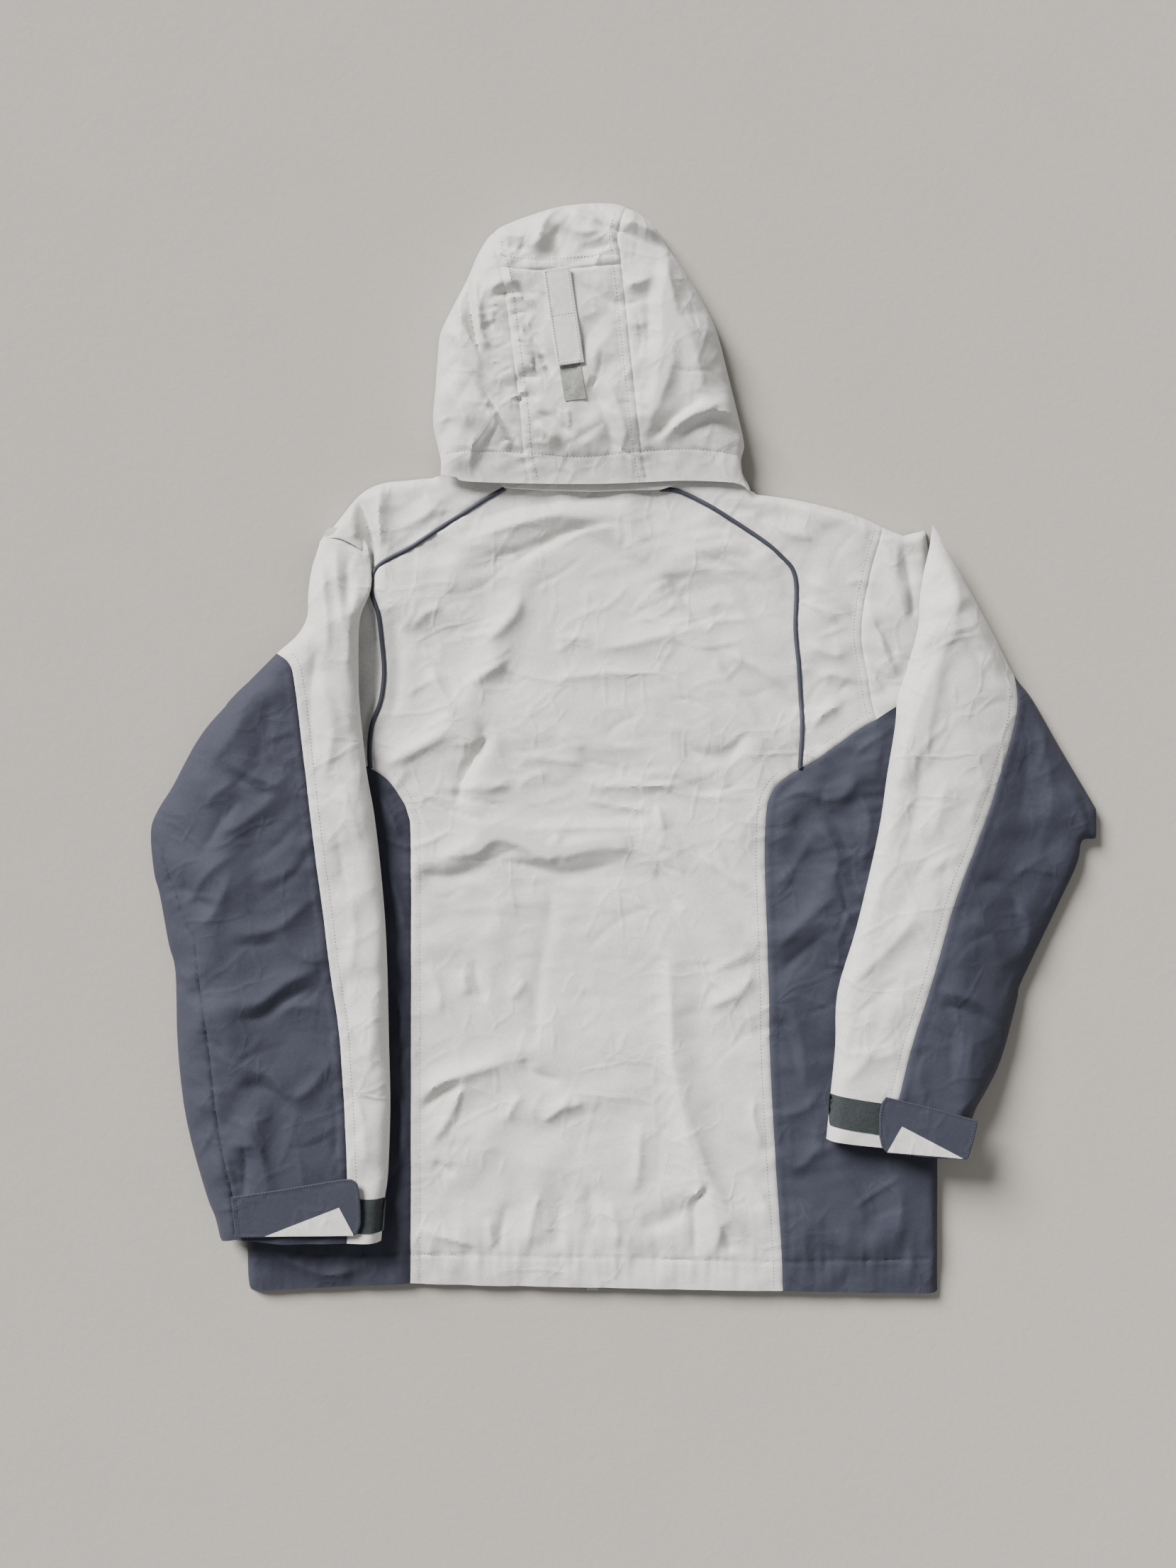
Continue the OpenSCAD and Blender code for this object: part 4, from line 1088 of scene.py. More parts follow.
RIGHT_FOLDS = [
    (4.5, 12, 22, 272, 190, 288, 150, 290, 126, 272, 66, 258, 10, 244, -50),
    (2.2, 12, 12, 280, 110, 262, 92, 252, 80),
    (-1.8, 9, 9, 292, 106, 312, 76, 328, 50),
    (1.5, 9, 9, 300, 118, 322, 86, 336, 60),
    (1.8, 8, 9, 322, -23, 308, -50, 302, -72),
    (1.6, 9, 8, 284, -20, 276, -52, 268, -84),
    (2.2, 9, 9, 250, 20, 244, -10, 240, -40),
    (-1.6, 10, 10, 262, 0, 256, -50, 246, -100),
    (1.6, 9, 8, 300, -90, 280, -98, 258, -112),
    (2.0, 10, 10, 188, -216, 214, -192, 242, -164, 262, -130),
    (-1.5, 9, 9, 192, -240, 220, -222, 244, -200),
    (1.4, 8, 8, 196, -262, 222, -272, 244, -262),
    (1.4, 7, 7, 190, -296, 206, -280, 216, -262),
    (2.6, 12, 10, 352, 50, 366, 30, 374, -8, 378, -48, 366, -98),
    (-2.0, 12, 12, 356, 10, 356, -30, 346, -70),
    (2.6, 10, 9, 330, -132, 350, -136, 358, -160, 352, -200),
    (-2.8, 10, 9, 306, -130, 322, -118, 344, -132, 346, -160),
    (2.2, 9, 9, 300, -150, 320, -160, 330, -190),
    (3.4, 9, 6, 268, -212, 284, -216, 306, -222, 328, -238, 336, -256),
    (-3.4, 6, 8, 272, -224, 292, -230, 312, -236, 326, -252),
    (-1.8, 9, 9, 294, -236, 286, -270, 290, -306),
    (1.8, 8, 8, 306, -246, 302, -280, 304, -300),
    (3.2, 6, 5, 328, -290, 316, -304, 302, -314, 290, -322),
    (-3.2, 4, 5, 326, -300, 312, -312, 296, -322),
    (1.8, 7, 7, 262, -270, 258, -294, 264, -316),
    (-2.4, 5, 6, 404, -40, 414, -60, 418, -80),
    (2.4, 6, 6, 392, -30, 408, -62, 408, -84),
]
ARM_CREASES = {
    "left": creases(7, 44, (-410, -400, -240, 60), 30, 35, (20, 80), (0.4, 1.3), (1.6, 4.5))
    + creases(8, 18, (-290, -400, -205, 180), 82, 20, (25, 90), (0.4, 1.2), (1.6, 4)),
    "right": creases(9, 24, (190, -330, 330, 190), 66, 22, (30, 90), (0.4, 1.1), (1.6, 4.5))
    + creases(12, 22, (250, -340, 410, 40), 60, 35, (25, 70), (0.5, 1.2), (2, 5))}
UNDERARM_L = spline(pts(-421, -80, -415, -89, -401, -122, -387, -159, -380, -173, -375, -215,
                        -369, -249, -359, -333, -351, -371, -346, -394, -343, -430))


def sleeve_form(p, side):
    """Plain top and bottom heights of a sleeve, and how much of its folds show."""
    x, y = p[:, 0], p[:, 1]
    if side == "left":
        d_in, d_out = apart(inner_l, p), apart(outer_l, p)
        past = -341 - x     # how far out past the edge of the body it lies on
        cap = near(cap_l, p)[0]
        start = np.where((y > 171) & (cap > 0), 0, np.abs(cap))
        top = 15.4 + 24.2 * smooth(start / 66)
        low = 9.6 + 12.6 * smooth(start / 50)
        e_in = 12.6 + 15 * smooth(start / 60)
        e_out = 9.0 + 2 * smooth(start / 60)
        e_out += (24 - e_out) * (1 - smooth((past + 12) / 40)) * smooth(start / 40)
        r_in = 17
    else:
        d_in, d_out = apart(inner_r, p), apart(outer_r, p)
        past = x - 284
        start = np.hypot(x - 273, y - 198)
        top = 25 + 15 * smooth(start / 90)
        low = 21.6
        e_in = 22.6 + 4.5 * smooth(start / 80)
        e_out = 22 - 13 * smooth(past / 45)
        r_in = 17 + 16 * smooth((y + 20) / 80)
    slope = 20.0 * smooth(past / 95)
    crown = soft_min(e_in + (top - e_in) * dome(d_in, r_in),
                     e_out + (top - slope - e_out) * dome(d_out, 30), 3)
    sunk = smooth((past - 2) / 28)
    bottom = low * (1 - sunk) + 1.6 * sunk
    under = np.maximum(e_in - (e_in - bottom) * dome(d_in, 12),
                       e_out - (e_out - bottom) * dome(d_out, 16))
    show = smooth(np.minimum(d_in, d_out) / 9)
    return crown, np.minimum(under, crown - 0.05), show


def arm_start(strokes, seed):
    """Heights that a sleeve falls from."""
    def start(p):
        z = 1.2 * crumple(p, 60, seed, 1.5, 0.2) + 0.4 * crumple(p, 26, seed + 10)
        return folds(z, p, strokes, 0.8)
    return start


def held_outside(outline, seams):
    """The points held while cloth falls: those outside its outline or on a seam."""
    return lambda p: ~inside(outline, p) | along_seam(p, seams)


CUFF = {"left": -360, "right": -280}    # where a sleeve lowers to pass under its cuff tab
SLEEVE_LIMIT = 45                       # the highest that a sleeve's folds reach


def sleeve_top(side):
    """Height of the upper side of a sleeve."""
    left = side == "left"
    strokes = LEFT_FOLDS if left else RIGHT_FOLDS
    lines = ([(stripe_l, -0.6, 1.1), (UNDERARM_L, 0, 1.5), (cap_l, -0.8, 1.2)]
             if left else [(stripe_r, 0.6, 1.1)])
    seed = 100 if left else 200

    def height(p):
        crown, under, show = sleeve_form(p, side)
        pale = smooth(near(stripe_l, p)[0] / 8 if left else -near(stripe_r, p)[0] / 8)
        f = 0.5 * arm_drape[side](p) + (1.1 + 0.8 * pale) * facets(p, 48, seed + 20, 1.4, 1.2)
        f += busy(p, seed, 110) * (1.1 * facets(p, 23, seed + 30, 1.6, 1.0)
                                   + 0.4 * facets(p, 12, seed + 40))
        f = folds(f, p, strokes, 0.6 + 0.55 * pale)
        f = folds(f, p, ARM_CREASES[side])
        z = crown + f * (0.25 + 0.75 * show)
        for k, (line, raised, depth) in enumerate(lines):
            z = seam(z, p, line, seed=seed + k, raised=raised, depth=depth, pucker=0.5)
        z = soft_min(z, SLEEVE_LIMIT - 2.5 * smooth((CUFF[side] - p[:, 1]) / 20))
        return np.maximum(z, under + 0.6 * show)
    return height


def sleeve_inside(side, top):
    """Height of the upper or lower lining of a sleeve."""
    def height(p):
        crown, under, _ = sleeve_form(p, side)
        room = np.minimum(crown - under, 18)
        return crown - 0.30 * room if top else under + 0.22 * room
    return height


tuck = curve(pts(-271, 188, -266, 195, -256, 197, -240, 191, -231, 183, -228, 171))
cuff_l = straight(-361, -438, -343, -433, -300, -437, -245, -436)
cuff_l2 = straight(-245, -436, -216, -436)
cuff_r = straight(178, -346, 200, -349, 229, -352)
cuff_r2 = straight(229, -352, 262, -360, 300, -362)


def split(line, at):
    """The two parts of a line that meet at a point on it."""
    k = int(np.argmin(np.hypot(*(line - at).T)))
    return np.vstack([line[:k], [at]]), np.vstack([[at], line[k + 1:]])


ol_a, ol_b = split(outer_l, STRIPE_L[0])
or_a, or_b = split(outer_r, STRIPE_R[0])
# plans of a sleeve's stripe, its outer panel and the two together
plan = {
    "left": dict(
        stripe=ring(ol_a, stripe_l, cuff_l2, inner_l[::-1], tuck[::-1]),
        outer=ring(ol_b, cuff_l, stripe_l[::-1]),
        whole=ring(outer_l, cuff_l, cuff_l2, inner_l[::-1], tuck[::-1])),
    "right": dict(
        stripe=ring(or_a, stripe_r, cuff_r[::-1], inner_r[::-1]),
        outer=ring(or_b, cuff_r2[::-1], stripe_r[::-1]),
        whole=ring(outer_r, cuff_r2[::-1], cuff_r[::-1], inner_r[::-1])),
}
arm_drape = {
    "left": drape("left_fall", (-428, -442, -200, 202), arm_start(LEFT_FOLDS, 100),
                  held_outside(plan["left"]["whole"], (stripe_l,)), grow=0.02),
    "right": drape("right_fall", (172, -366, 428, 204), arm_start(RIGHT_FOLDS, 200),
                   held_outside(plan["right"]["whole"], (stripe_r,))),
}
# y at which the under panel and the lining of a sleeve end, below the shoulder
UNDER_END = {"left": 184, "right": 146}
LINING_END = {"left": 120, "right": 130}
for side in ("left", "right"):
    top, body = sleeve_top(side), "sleeve_" + side
    sheet("sleeve_stripe_" + side, plan[side]["stripe"], top, "light_shell", body)
    sheet("sleeve_outer_" + side, plan[side]["outer"], top, "navy_shell", body,
          lines=[resample(UNDERARM_L, 2.0)] if side == "left" else ())
    whole = plan[side]["whole"]
    sheet("sleeve_under_" + side, whole[whole[:, 1] < UNDER_END[side]],
          lambda p: sleeve_form(p, side)[1], "navy_shell", body, step=6, up=False)
    inner = whole + inward(whole) * 5
    inner = inner[inner[:, 1] < LINING_END[side]]
    for part, nodes in (("upper", ["sleeve_lining_" + side, "cuff_facing_" + side]),
                        ("lower", [])):
        upper = part == "upper"
        sheet("sleeve_lining_%s_%s" % (part, side), inner, sleeve_inside(side, upper),
              "lining", body, nodes, step=9, rows=(), t=0.5, up=upper)

stitches("stitch_stripe_left", [beside(stripe_l, 8)[4:-2]], sleeve_top("left"), "light_shell",
         "sleeve_left")
stitches("stitch_stripe_right", [beside(stripe_r, -8)[4:-2]], sleeve_top("right"),
         "light_shell", "sleeve_right")

# ---------------------------------------------------------------- hood
HOOD = pts(-164, 243, -164, 257, -172, 290, -170, 323, -168, 351, -165, 373, -150, 403,
           -140, 423, -131, 444, -118, 462, -99, 472, -72, 481, -51, 486, -18, 488, 2, 484,
           26, 468, 38, 449, 53, 427, 68, 403, 82, 375, 92, 338, 101, 301, 107, 273,
           103, 256, 105, 240, 110, 229)
HOOD_LOW = pts(-164, 243, -150, 240, -135, 236, -29, 234, 47, 237, 97, 235, 110, 229)
HSEAM_L = pts(-118, 462, -115, 440, -110, 423, -106, 400, -98, 340, -92, 290, -90, 261,
              -84, 235)
HSEAM_R = pts(2, 484, -7, 452, -5, 436, -4, 425, -1, 400, 3, 360, 8, 312, 14, 262, 20, 236)
CROWN = pts(-110, 423, -95, 421, -72, 420, -40, 422, -4, 425)
BAND = pts(-165, 260, -130, 262, -90, 261, -40, 257, 14, 262, 60, 264, 104, 259)
HOOD_FOLDS = [
    (-5.5, 2.6, 6, -142, 428, -139, 410, -137, 390, -133, 365, -126, 338),
    (4.2, 9, 3, -150, 410, -147, 385, -140, 355, -128, 326),
    (2.6, 4, 8, -132, 420, -131, 395, -127, 368, -120, 345),
    (3.0, 10, 7, -166, 371, -150, 361, -136, 338, -124, 322),
    (-4.0, 7, 6, -132, 326, -117, 303, -99, 274, -91, 262),
    (2.2, 8, 6, -124, 300, -108, 278, -98, 264),
    (2.0, 10, 10, -160, 322, -146, 300, -136, 276),
    (4.6, 12, 12, 38, 462, 37, 440, 37, 400, 35, 340, 26, 300, 16, 264),
    (-2.6, 12, 10, 18, 420, 20, 380, 18, 340),
    (1.8, 12, 12, 39, 384, 60, 348, 72, 308),
    (-3.2, 9, 9, 17, 268, 35, 283, 54, 299, 72, 308),
    (3.0, 9, 9, 26, 266, 48, 286, 72, 298, 92, 306),
    (-3.2, 7, 7, 44, 274, 62, 282, 82, 289, 104, 275),
    (3.0, 8, 7, 50, 290, 70, 296, 92, 294, 104, 284),
    (3.2, 9, 8, -52, 482, -66, 470, -74, 456, -75, 430),
    (-2.6, 10, 9, -58, 462, -62, 446, -56, 430),
    (2.2, 7, 8, -51, 482, -39, 469, -18, 464),
    (-3.0, 6, 7, -30, 462, -14, 458, 6, 451, 36, 440),
    (2.6, 7, 6, -6, 466, 14, 460, 34, 452),
    (-2.0, 7, 6, -44, 442, -28, 439, -10, 444),
    (1.8, 6, 6, -50, 458, -36, 452, -22, 456),
    (-2.0, 6, 6, -117, 446, -103, 440, -78, 438),
    (2.0, 6, 6, -112, 456, -96, 450, -80, 452),
    (-3.0, 6, 6, -124, 390, -111, 399, -92, 400, -76, 392),
    (2.4, 6, 5, -122, 402, -108, 408, -92, 409),
    (2.2, 6, 6, -108, 392, -90, 397, -78, 388),
    (-2.0, 6, 6, -129, 366, -116, 372),
    (-2.6, 7, 7, -94, 376, -82, 362, -73, 346, -65, 318),
    (2.0, 7, 7, -100, 366, -90, 350, -82, 330),
    (-2.2, 6, 6, -98, 322, -86, 327, -74, 324),
    (-2.0, 6, 6, -98, 306, -84, 310, -76, 304),
    (-2.4, 7, 7, -78, 301, -63, 286, -44, 275),
    (2.0, 7, 7, -80, 288, -68, 276, -56, 268),
    (-2.6, 9, 9, -34, 326, -17, 290, -9, 258),
    (2.2, 9, 9, -22, 330, -6, 296, 2, 266),
    (-2.6, 7, 7, -44, 410, -24, 398, -4, 390, 22, 396),
    (2.2, 7, 7, -4, 404, 12, 408, 26, 414),
    (1.6, 7, 7, -4, 378, 10, 372, 24, 376),
]
HOOD_CREASES = (
    creases(14, 60, (-160, 250, 100, 480), 70, 45, (16, 60), (0.6, 1.5), (1.1, 3.0))
    + creases(15, 44, (-125, 262, -70, 450), 20, 30, (10, 26), (0.7, 1.6), (1.1, 2.2)))
hood_edge = curve(HOOD)
hood_low = curve(HOOD_LOW)
hseam_l, hseam_r = curve(HSEAM_L), curve(HSEAM_R)
crown_line, band_line = curve(CROWN), curve(BAND)


def hood_form(p):
    """Plain top of the hood, and the height of its edge."""
    y = p[:, 1]
    d = apart(hood_edge, p)
    edge = 4 + 17.5 * smooth((281 - y) / 32)
    top = 24.5 + 14.0 * smooth((y - 232) / 66)
    top -= 3.0 * smooth((y - 400) / 90)
    r = 36 - 16 * smooth((290 - y) / 40)
    return edge + (top - edge) * dome(d, r) ** 0.92, edge


def hood_start(p):
    """Heights that the top of the hood falls from."""
    z = 1.2 * crumple(p, 50, 300, 1.4, 0.1) + 0.4 * crumple(p, 22, 310)
    return folds(z, p, HOOD_FOLDS, 0.7)


hood_drape = drape("hood_fall", (-178, 232, 116, 492), hood_start,
                   held_outside(hood_edge, (hseam_l, hseam_r, crown_line, band_line)),
                   grow=0.02, pitch=5.0)
TUCK = spline(pts(-146, 440, -142, 420, -138, 395, -133, 365, -124, 335))
HOOD_LIMIT = 46     # the highest that the hood's folds reach, lower under its tab


def hood_z(p):
    """Height of the top of the hood."""
    x, y = p[:, 0], p[:, 1]
    base, edge = hood_form(p)
    f = 0.6 * hood_drape(p) + 2.6 * facets(p, 40, 320, 1.4, 1.3)
    f += (0.4 + 0.6 * busy(p, 300, 80)) * (1.8 * facets(p, 20, 330, 1.4, 0.9)
                                           + 0.9 * facets(p, 11, 340))
    f = folds(f + 0.8, p, HOOD_FOLDS, 1.75)
    f = folds(f, p, HOOD_CREASES, 1.5)
    f = -soft_min(-f, 3.6 + 5.5 * np.exp(-(near(TUCK, p)[0] / 16) ** 2), 4.5)
    at_edge = 0.25 + 0.75 * smooth(apart(hood_edge, p) / 10)
    z = base + f * at_edge * (0.3 + 0.7 * smooth((y - 236) / 24))
    for k, (line, raised, pucker, depth) in enumerate((
            (hseam_l, 0.9, 1.3, 1.1), (hseam_r, -0.9, 0.8, 1.1), (crown_line, 1.5, 0.7, 1.1),
            (band_line, 0, 0.5, 0.5))):
        z = seam(z, p, line, seed=90 + k, raised=raised, pucker=pucker, depth=depth, reach=10)
    under_tab = (np.abs(x + 55) < 26) & (y > 296) & (y < 430)
    return np.maximum(soft_min(z, HOOD_LIMIT - 4.5 * under_tab), edge - 0.4)


def cut(line, a, b):
    """The stretch of a line between its points nearest to a and b, ends included exactly."""
    i, j = (int(np.argmin(np.hypot(*(line - q).T))) for q in (a, b))
    part = line[min(i, j):max(i, j) + 1].copy()
    if i > j:
        part = part[::-1]
    part[0], part[-1] = a, b
    return part


def meet(line, other):
    """The point of line nearest to other."""
    return line[int(np.argmin(apart(other, line)))]


# where seams meet: crown, band and edge of the hood, left and right, and the seams' tops
c_l, c_r = CROWN[0], CROWN[-1]
b_l, b_r = meet(hseam_l, band_line), meet(hseam_r, band_line)
half = len(hood_edge) // 2
e_l, e_r = meet(hood_edge[:half], band_line), meet(hood_edge[half:], band_line)
t_l, t_r = HSEAM_L[0], HSEAM_R[0]
band_a, band_b = cut(band_line, e_l, b_l), cut(band_line, b_l, b_r)
band_c = cut(band_line, b_r, e_r)
seam_cl, seam_bl = cut(hseam_l, t_l, c_l), cut(hseam_l, c_l, b_l)
seam_cr, seam_br = cut(hseam_r, t_r, c_r), cut(hseam_r, c_r, b_r)
hood_parts = {
    "hood_crown": ring(cut(hood_edge, t_l, t_r), seam_cr, crown_line[::-1], seam_cl[::-1]),
    "hood_centre": ring(crown_line, seam_br, band_b[::-1], seam_bl[::-1]),
    "hood_side_left": ring(cut(hood_edge, e_l, t_l), seam_cl, seam_bl, band_a[::-1]),
    "hood_side_right": ring(cut(hood_edge, t_r, e_r), band_c[::-1], seam_br[::-1],
                            seam_cr[::-1]),
    "hood_band": ring(cut(hood_edge, HOOD[0], e_l), band_a, band_b, band_c,
                      cut(hood_edge, e_r, HOOD[-1]), hood_low[::-1]),
}
for name, outline in hood_parts.items():
    sheet(name, outline, hood_z, "light_shell", "hood", t=1.1, step=2.1)
stitches("stitch_hood", [beside(hseam_l, 7)[4:], beside(hseam_r, -7)[4:],
                         beside(crown_line, 9.5), band_line[2:-2]], hood_z, "light_shell",
         "hood")

FACE = pts(-128, 250, -132, 330, -112, 372, -70, 396, -28, 402, 14, 394, 50, 368, 66, 330,
           66, 250)
RIM_LOW, LINING_LOW = 264, 262      # where the hood's rim and lining end, above its band


def rim_z(p):
    """Height of the hood's face rim, on the floor side."""
    return 3.6 - 1.8 * dome(apart(hood_edge, p), 10) + 0.35 * noise(
        p[:, 0] / 26, p[:, 1] / 26, 350)


def hood_inner_z(p):
    """Height of the hood's lining, lower under the tuck."""
    base, _ = hood_form(p)
    return np.minimum(base - 5.4, 31) - 7 * np.exp(-(near(TUCK, p)[0] / 20) ** 2)


face = curve(FACE, 5)
rim = ring(hood_edge[hood_edge[:, 1] > RIM_LOW], face[face[:, 1] > RIM_LOW][::-1])
sheet("hood_rim", rim, rim_z, "light_shell", "hood", step=6, up=False)
middle = np.array([-32, 345])
inner = hood_edge + (middle - hood_edge) * 0.09
sheet("hood_lining", inner[inner[:, 1] > LINING_LOW], hood_inner_z, "lining", "hood", step=8,
      t=0.5)

# ---------------------------------------------------------------- tabs and patches
HOOD_TAB_TOP = 45.0
CUFF_TAB_TOP = 45.4
HOOK_GAP = 1.85     # from the top of a tab to the hook patch under it
LOOP_RISE = 0.9     # from the cloth to the top of a loop patch on it


def strip(name, outline, height, slot, body):
    """A stiff stitched tab whose top lies at height over a plan outline."""
    rim = np.vstack([outline, outline[:1]])

    def top(p):
        d = apart(rim, p)
        return height(p) - 0.55 * (1 - dome(d, 1.4)) - 0.35 * np.exp(-((d - 2.6) / 0.7) ** 2)
    sheet(name, outline, top, slot, body, step=3.0, t=1.8, rows=(0.7, 1.5, 2.6))


def placed(q, x, y, tilt):
    """A plan outline turned by tilt degrees and moved to x, y."""
    c, s = math.cos(math.radians(tilt)), math.sin(math.radians(tilt))
    return np.column_stack([x + q[:, 0] * c - q[:, 1] * s, y + q[:, 0] * s + q[:, 1] * c])


def on_hood(q):
    """An outline drawn about the upper end of the hood tab, in its place on the hood."""
    return placed(q, -61, 421, 8.5)


def hood_tab_z(p):
    """Height of the top of the hood tab."""
    u = np.clip((421 - p[:, 1]) / 86, 0, 1)
    return HOOD_TAB_TOP - 0.9 * np.sin(u * math.pi) + 0.6 * noise(p[:, 0] / 30, p[:, 1] / 30, 400)


tab_line = on_hood(closed(pts(-12, -1, -12, -86, 12, -86, 12, -1, -12, -1), 2.6))
strip("hood_tab", tab_line, hood_tab_z, "light_shell", "hood_tab")
stitches("stitch_hood_tab", [on_hood(straight(-10, -2, -10, -84, 10, -84, 10, -2, step=2)),
                             on_hood(straight(-10, -42, 10, -42, step=2))],
         hood_tab_z, "light_shell", "hood_tab", pitch=2.6, long=1.8)
sheet("hood_loop", on_hood(closed(pts(-10, -50, -10, -117, 9, -117, 9, -50, -10, -50), 2.6)),
      lambda p: np.maximum(hood_z(p) + LOOP_RISE, 41.0), "hood_loop", "hood", step=3, rows=(0.8,))
sheet("hood_hook", on_hood(closed(pts(-10, -47, -10, -83, 9, -83, 9, -47, -10, -47), 2.6)),
      lambda p: hood_tab_z(p) - HOOK_GAP, "hood_loop", "hood_tab", t=0.7, step=4, rows=())

TAB_L = pts(-346, -394, -300, -387, -247, -378, -240, -378, -235, -381, -233, -390, -232, -405,
            -232, -418, -235, -426, -240, -428, -254, -428, -300, -429, -342, -430, -346, -394)
TAB_R = pts(228, -306, 270, -316, 309, -327, 305, -345, 300, -361, 262, -359, 229, -355,
            224, -350, 222, -340, 222, -322, 224, -311, 228, -306)
ACC_L = pts(-316, -428.4, -251, -403, -238, -427.6, -316, -428.4)
ACC_R = pts(229, -354.4, 242, -332, 296, -360.4, 229, -354.4)


def cuff_tab_z(side):
    """Height of the top of a cuff tab, from its sewn end to its loose one."""
    def height(p):
        x = p[:, 0]
        u = np.clip((-232 - x) / 110 if side == "left" else (x - 224) / 80, 0, 1)
        return CUFF_TAB_TOP - 0.8 * np.sin(u * math.pi) - 1.2 * u ** 3 + 0.5 * noise(
            x / 34, p[:, 1] / 34, 410)
    return height


for side, outline, accent, loop, hook in (
        ("left", TAB_L, ACC_L, pts(-290, -397, -212, -397, -214, -427, -290, -427, -290, -397),
         pts(-278, -389, -242, -384, -240, -420, -278, -422, -278, -389)),
        ("right", TAB_R, ACC_R, pts(179, -305, 253, -317, 251, -345, 180, -333, 179, -305),
         pts(230, -313, 262, -321, 258, -350, 229, -346, 230, -313))):
    body, height, ground = "cuff_tab_" + side, cuff_tab_z(side), sleeve_top(side)
    strip(body, closed(outline, 2.6), height, "navy_shell", body)
    sheet("cuff_accent_" + side, closed(accent, 2.6), lambda p: height(p) + 0.25,
          "light_shell", body, t=1.2, step=3, rows=(0.8,))
    mid = outline.mean(0)
    stitches("stitch_cuff_tab_" + side, [resample(mid + (outline - mid) * 0.95, 2)], height,
             "navy_shell", body, pitch=2.6, long=1.8)
    sheet("cuff_loop_" + side, closed(loop, 2.6),
          lambda p: np.minimum(ground(p) + LOOP_RISE, 43.0), "cuff_loop", "sleeve_" + side,
          step=2.6, rows=(0.8,))
    sheet("cuff_hook_" + side, closed(hook, 2.6), lambda p: height(p) - HOOK_GAP, "cuff_loop",
          body, t=0.6, step=4, rows=())

# ---------------------------------------------------------------- front and inside of the body
FRONT_NECK = pts(-107, 232, -92, 205, -66, 188, -29, 184, 8, 188, 34, 205, 52, 232)
fneck = curve(FRONT_NECK, 4)
ZIP_L, ZIP_R = -36.5, -21.5     # edges of the front panels beside the zip


def front_z(p):
    """Height of the front, which lies on the floor."""
    return np.clip(1.6 + 0.5 * noise(p[:, 0] / 60, p[:, 1] / 60, 500), 1.3, 2.2)


shoulder_r_mid = shoulder_r[(shoulder_r[:, 0] <= 108) & (shoulder_r[:, 0] > 52)]
# the right front stays clear of the shoulder's tip, which turns with the sleeve
at_tip = (round_r[:, 0] > 228) & (round_r[:, 1] > 110)
left_half = ring(pts(ZIP_L, -482, -192, -479, -336, -486), edge_l[::-1],
                 round_l[round_l[:, 1] > -44][::-1],
                 shoulder_l[shoulder_l[:, 0] >= -150][::-1], fneck[fneck[:, 0] < ZIP_L],
                 pts(ZIP_L, 184.2))
right_half = ring(pts(ZIP_R, -482, 141, -485, 262, -487.5, 281, -487), edge_r[::-1],
                  round_r[(round_r[:, 1] > 53) & ~at_tip][::-1], shoulder_r_mid[::-1],
                  fneck[fneck[:, 0] > ZIP_R][::-1], pts(ZIP_R, 184.2))
slot = closed(pts(-7, -85, 7, -85, 7, 85, -7, 85, -7, -85), 4)
for side, outline, place in (("left", left_half, (-236, -250, -12)),
                             ("right", right_half, (178, -250, 12))):
    sheet("front_panel_" + side, outline, front_z, "navy_shell", "torso", step=8, t=0.8,
          holes=[placed(slot, *place)], rows=(), up=False)


def over_zip(p):
    """How much the inside is raised over the bottom of the front zip."""
    return 2.6 * np.exp(-((p[:, 0] + 29) / 14) ** 4) * smooth((-425 - p[:, 1]) / 14)


def inside_z(below):
    """Height of a layer under the back, raised over the bottom of the zip."""
    return lambda p: body_z(p, 0) - below + over_zip(p)


def lining_z(p):
    """Height of the back lining, lower beside the left sleeve's underarm."""
    x, y = p[:, 0], p[:, 1]
    return inside_z(5.8)(p) - 2.5 * smooth((-205 - x) / 8) * smooth((y + 20) / 10)


def level(z):
    """The same height everywhere."""
    return lambda p: np.full(len(p), z)


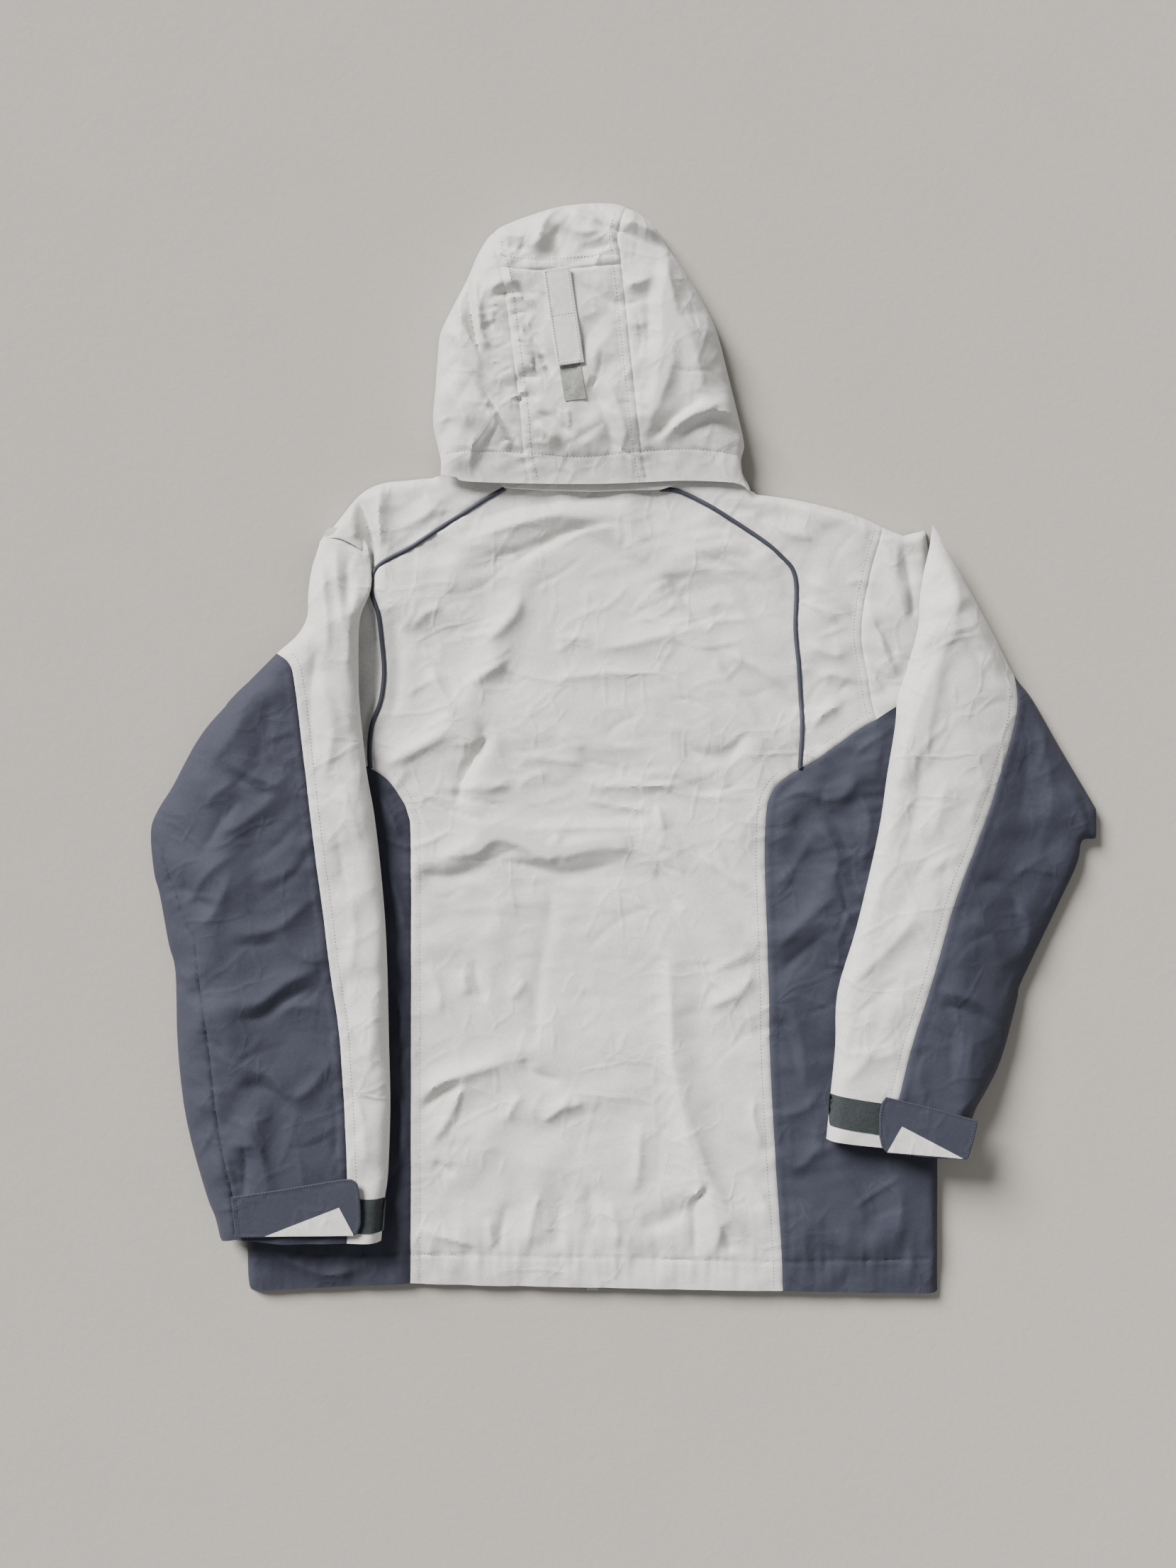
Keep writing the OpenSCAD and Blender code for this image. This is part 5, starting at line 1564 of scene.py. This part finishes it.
LINE_OUT = pts(-320, -458, 266, -458, 266, -150, 240, -90, 222, -40, 214, 10, 206, 80,
               208, 140, 212, 186, 120, 205, 60, 214, -120, 214, -205, 212, -222, 160,
               -230, 120, -258, 80, -270, 20, -300, -10, -322, -60, -320, -458)
line_out = closed(LINE_OUT, 6)
sheet("back_lining", line_out, lining_z, "lining", "torso", step=10, t=0.5, rows=())
sheet("front_lining", line_out, level(7.9), "lining", "torso", step=12, t=0.5, rows=())
sheet("hem_facing", closed(pts(-322, -459, -322, -479, 266, -479, 266, -459, -322, -459), 6),
      inside_z(4.6), "navy_shell", "torso", step=8, t=0.6, rows=())
sheet("zip_guard", closed(pts(-57, -476, -1, -476, -1, 284, -57, 284, -57, -476), 6),
      level(8.6), "navy_shell", "torso", step=9, t=0.8, rows=())

COLLAR = pts(-112, 288, -117, 285, -118, 278, -118, 240, -107, 231, -68, 229, -29, 228, 2, 229,
             32, 230, 52, 236, 59, 278, 58, 285, 53, 288, -112, 288)


def collar_z(p):
    """Height of the outer collar."""
    x, y = p[:, 0], p[:, 1]
    return (18.6 + 1.6 * smooth((y - 226) / 10) + 0.5 * noise(x / 20, y / 20, 520)
            - 1.5 * smooth((y - 262) / 26))


def hanger_z(p):
    """Height of the hanger loop, which sags between its ends."""
    return 11.2 - 1.6 * np.sin(np.clip((p[:, 0] + 58) / 58, 0, 1) * math.pi)


collar = closed(COLLAR, 4)
sheet("collar_outer", collar, collar_z, "light_shell", "torso", step=4)
sheet("collar_lining", collar + inward(collar) * 6, lambda p: collar_z(p) - 2.6, "lining",
      "torso", step=8, t=0.5, rows=())
sheet("hanger_loop", closed(pts(-58, 222, 0, 222, 0, 228, -58, 228, -58, 222), 3), hanger_z,
      "piping", "torso", step=3, rows=())
for side, x0 in (("left", -202), ("right", 14)):
    x1 = x0 + 130
    bag = closed(pts(x0, -345, x1, -345, x1, -155, x0, -155, x0, -345), 6)
    sheet("pocket_bag_" + side, bag, level(4.6), "lining", "torso", step=12, t=0.5, rows=())

# ---------------------------------------------------------------- finish of the CAD parts
for name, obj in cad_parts.items():
    if name.startswith(("zip_left", "zip_right", "pocket_zip")):
        mat = MATS["zip_tape"]
    elif "slider" in name or "pull" in name or "stops" in name:
        mat = MATS["zip_metal"]
    else:
        continue
    for used in obj.material_slots:
        used.material = mat
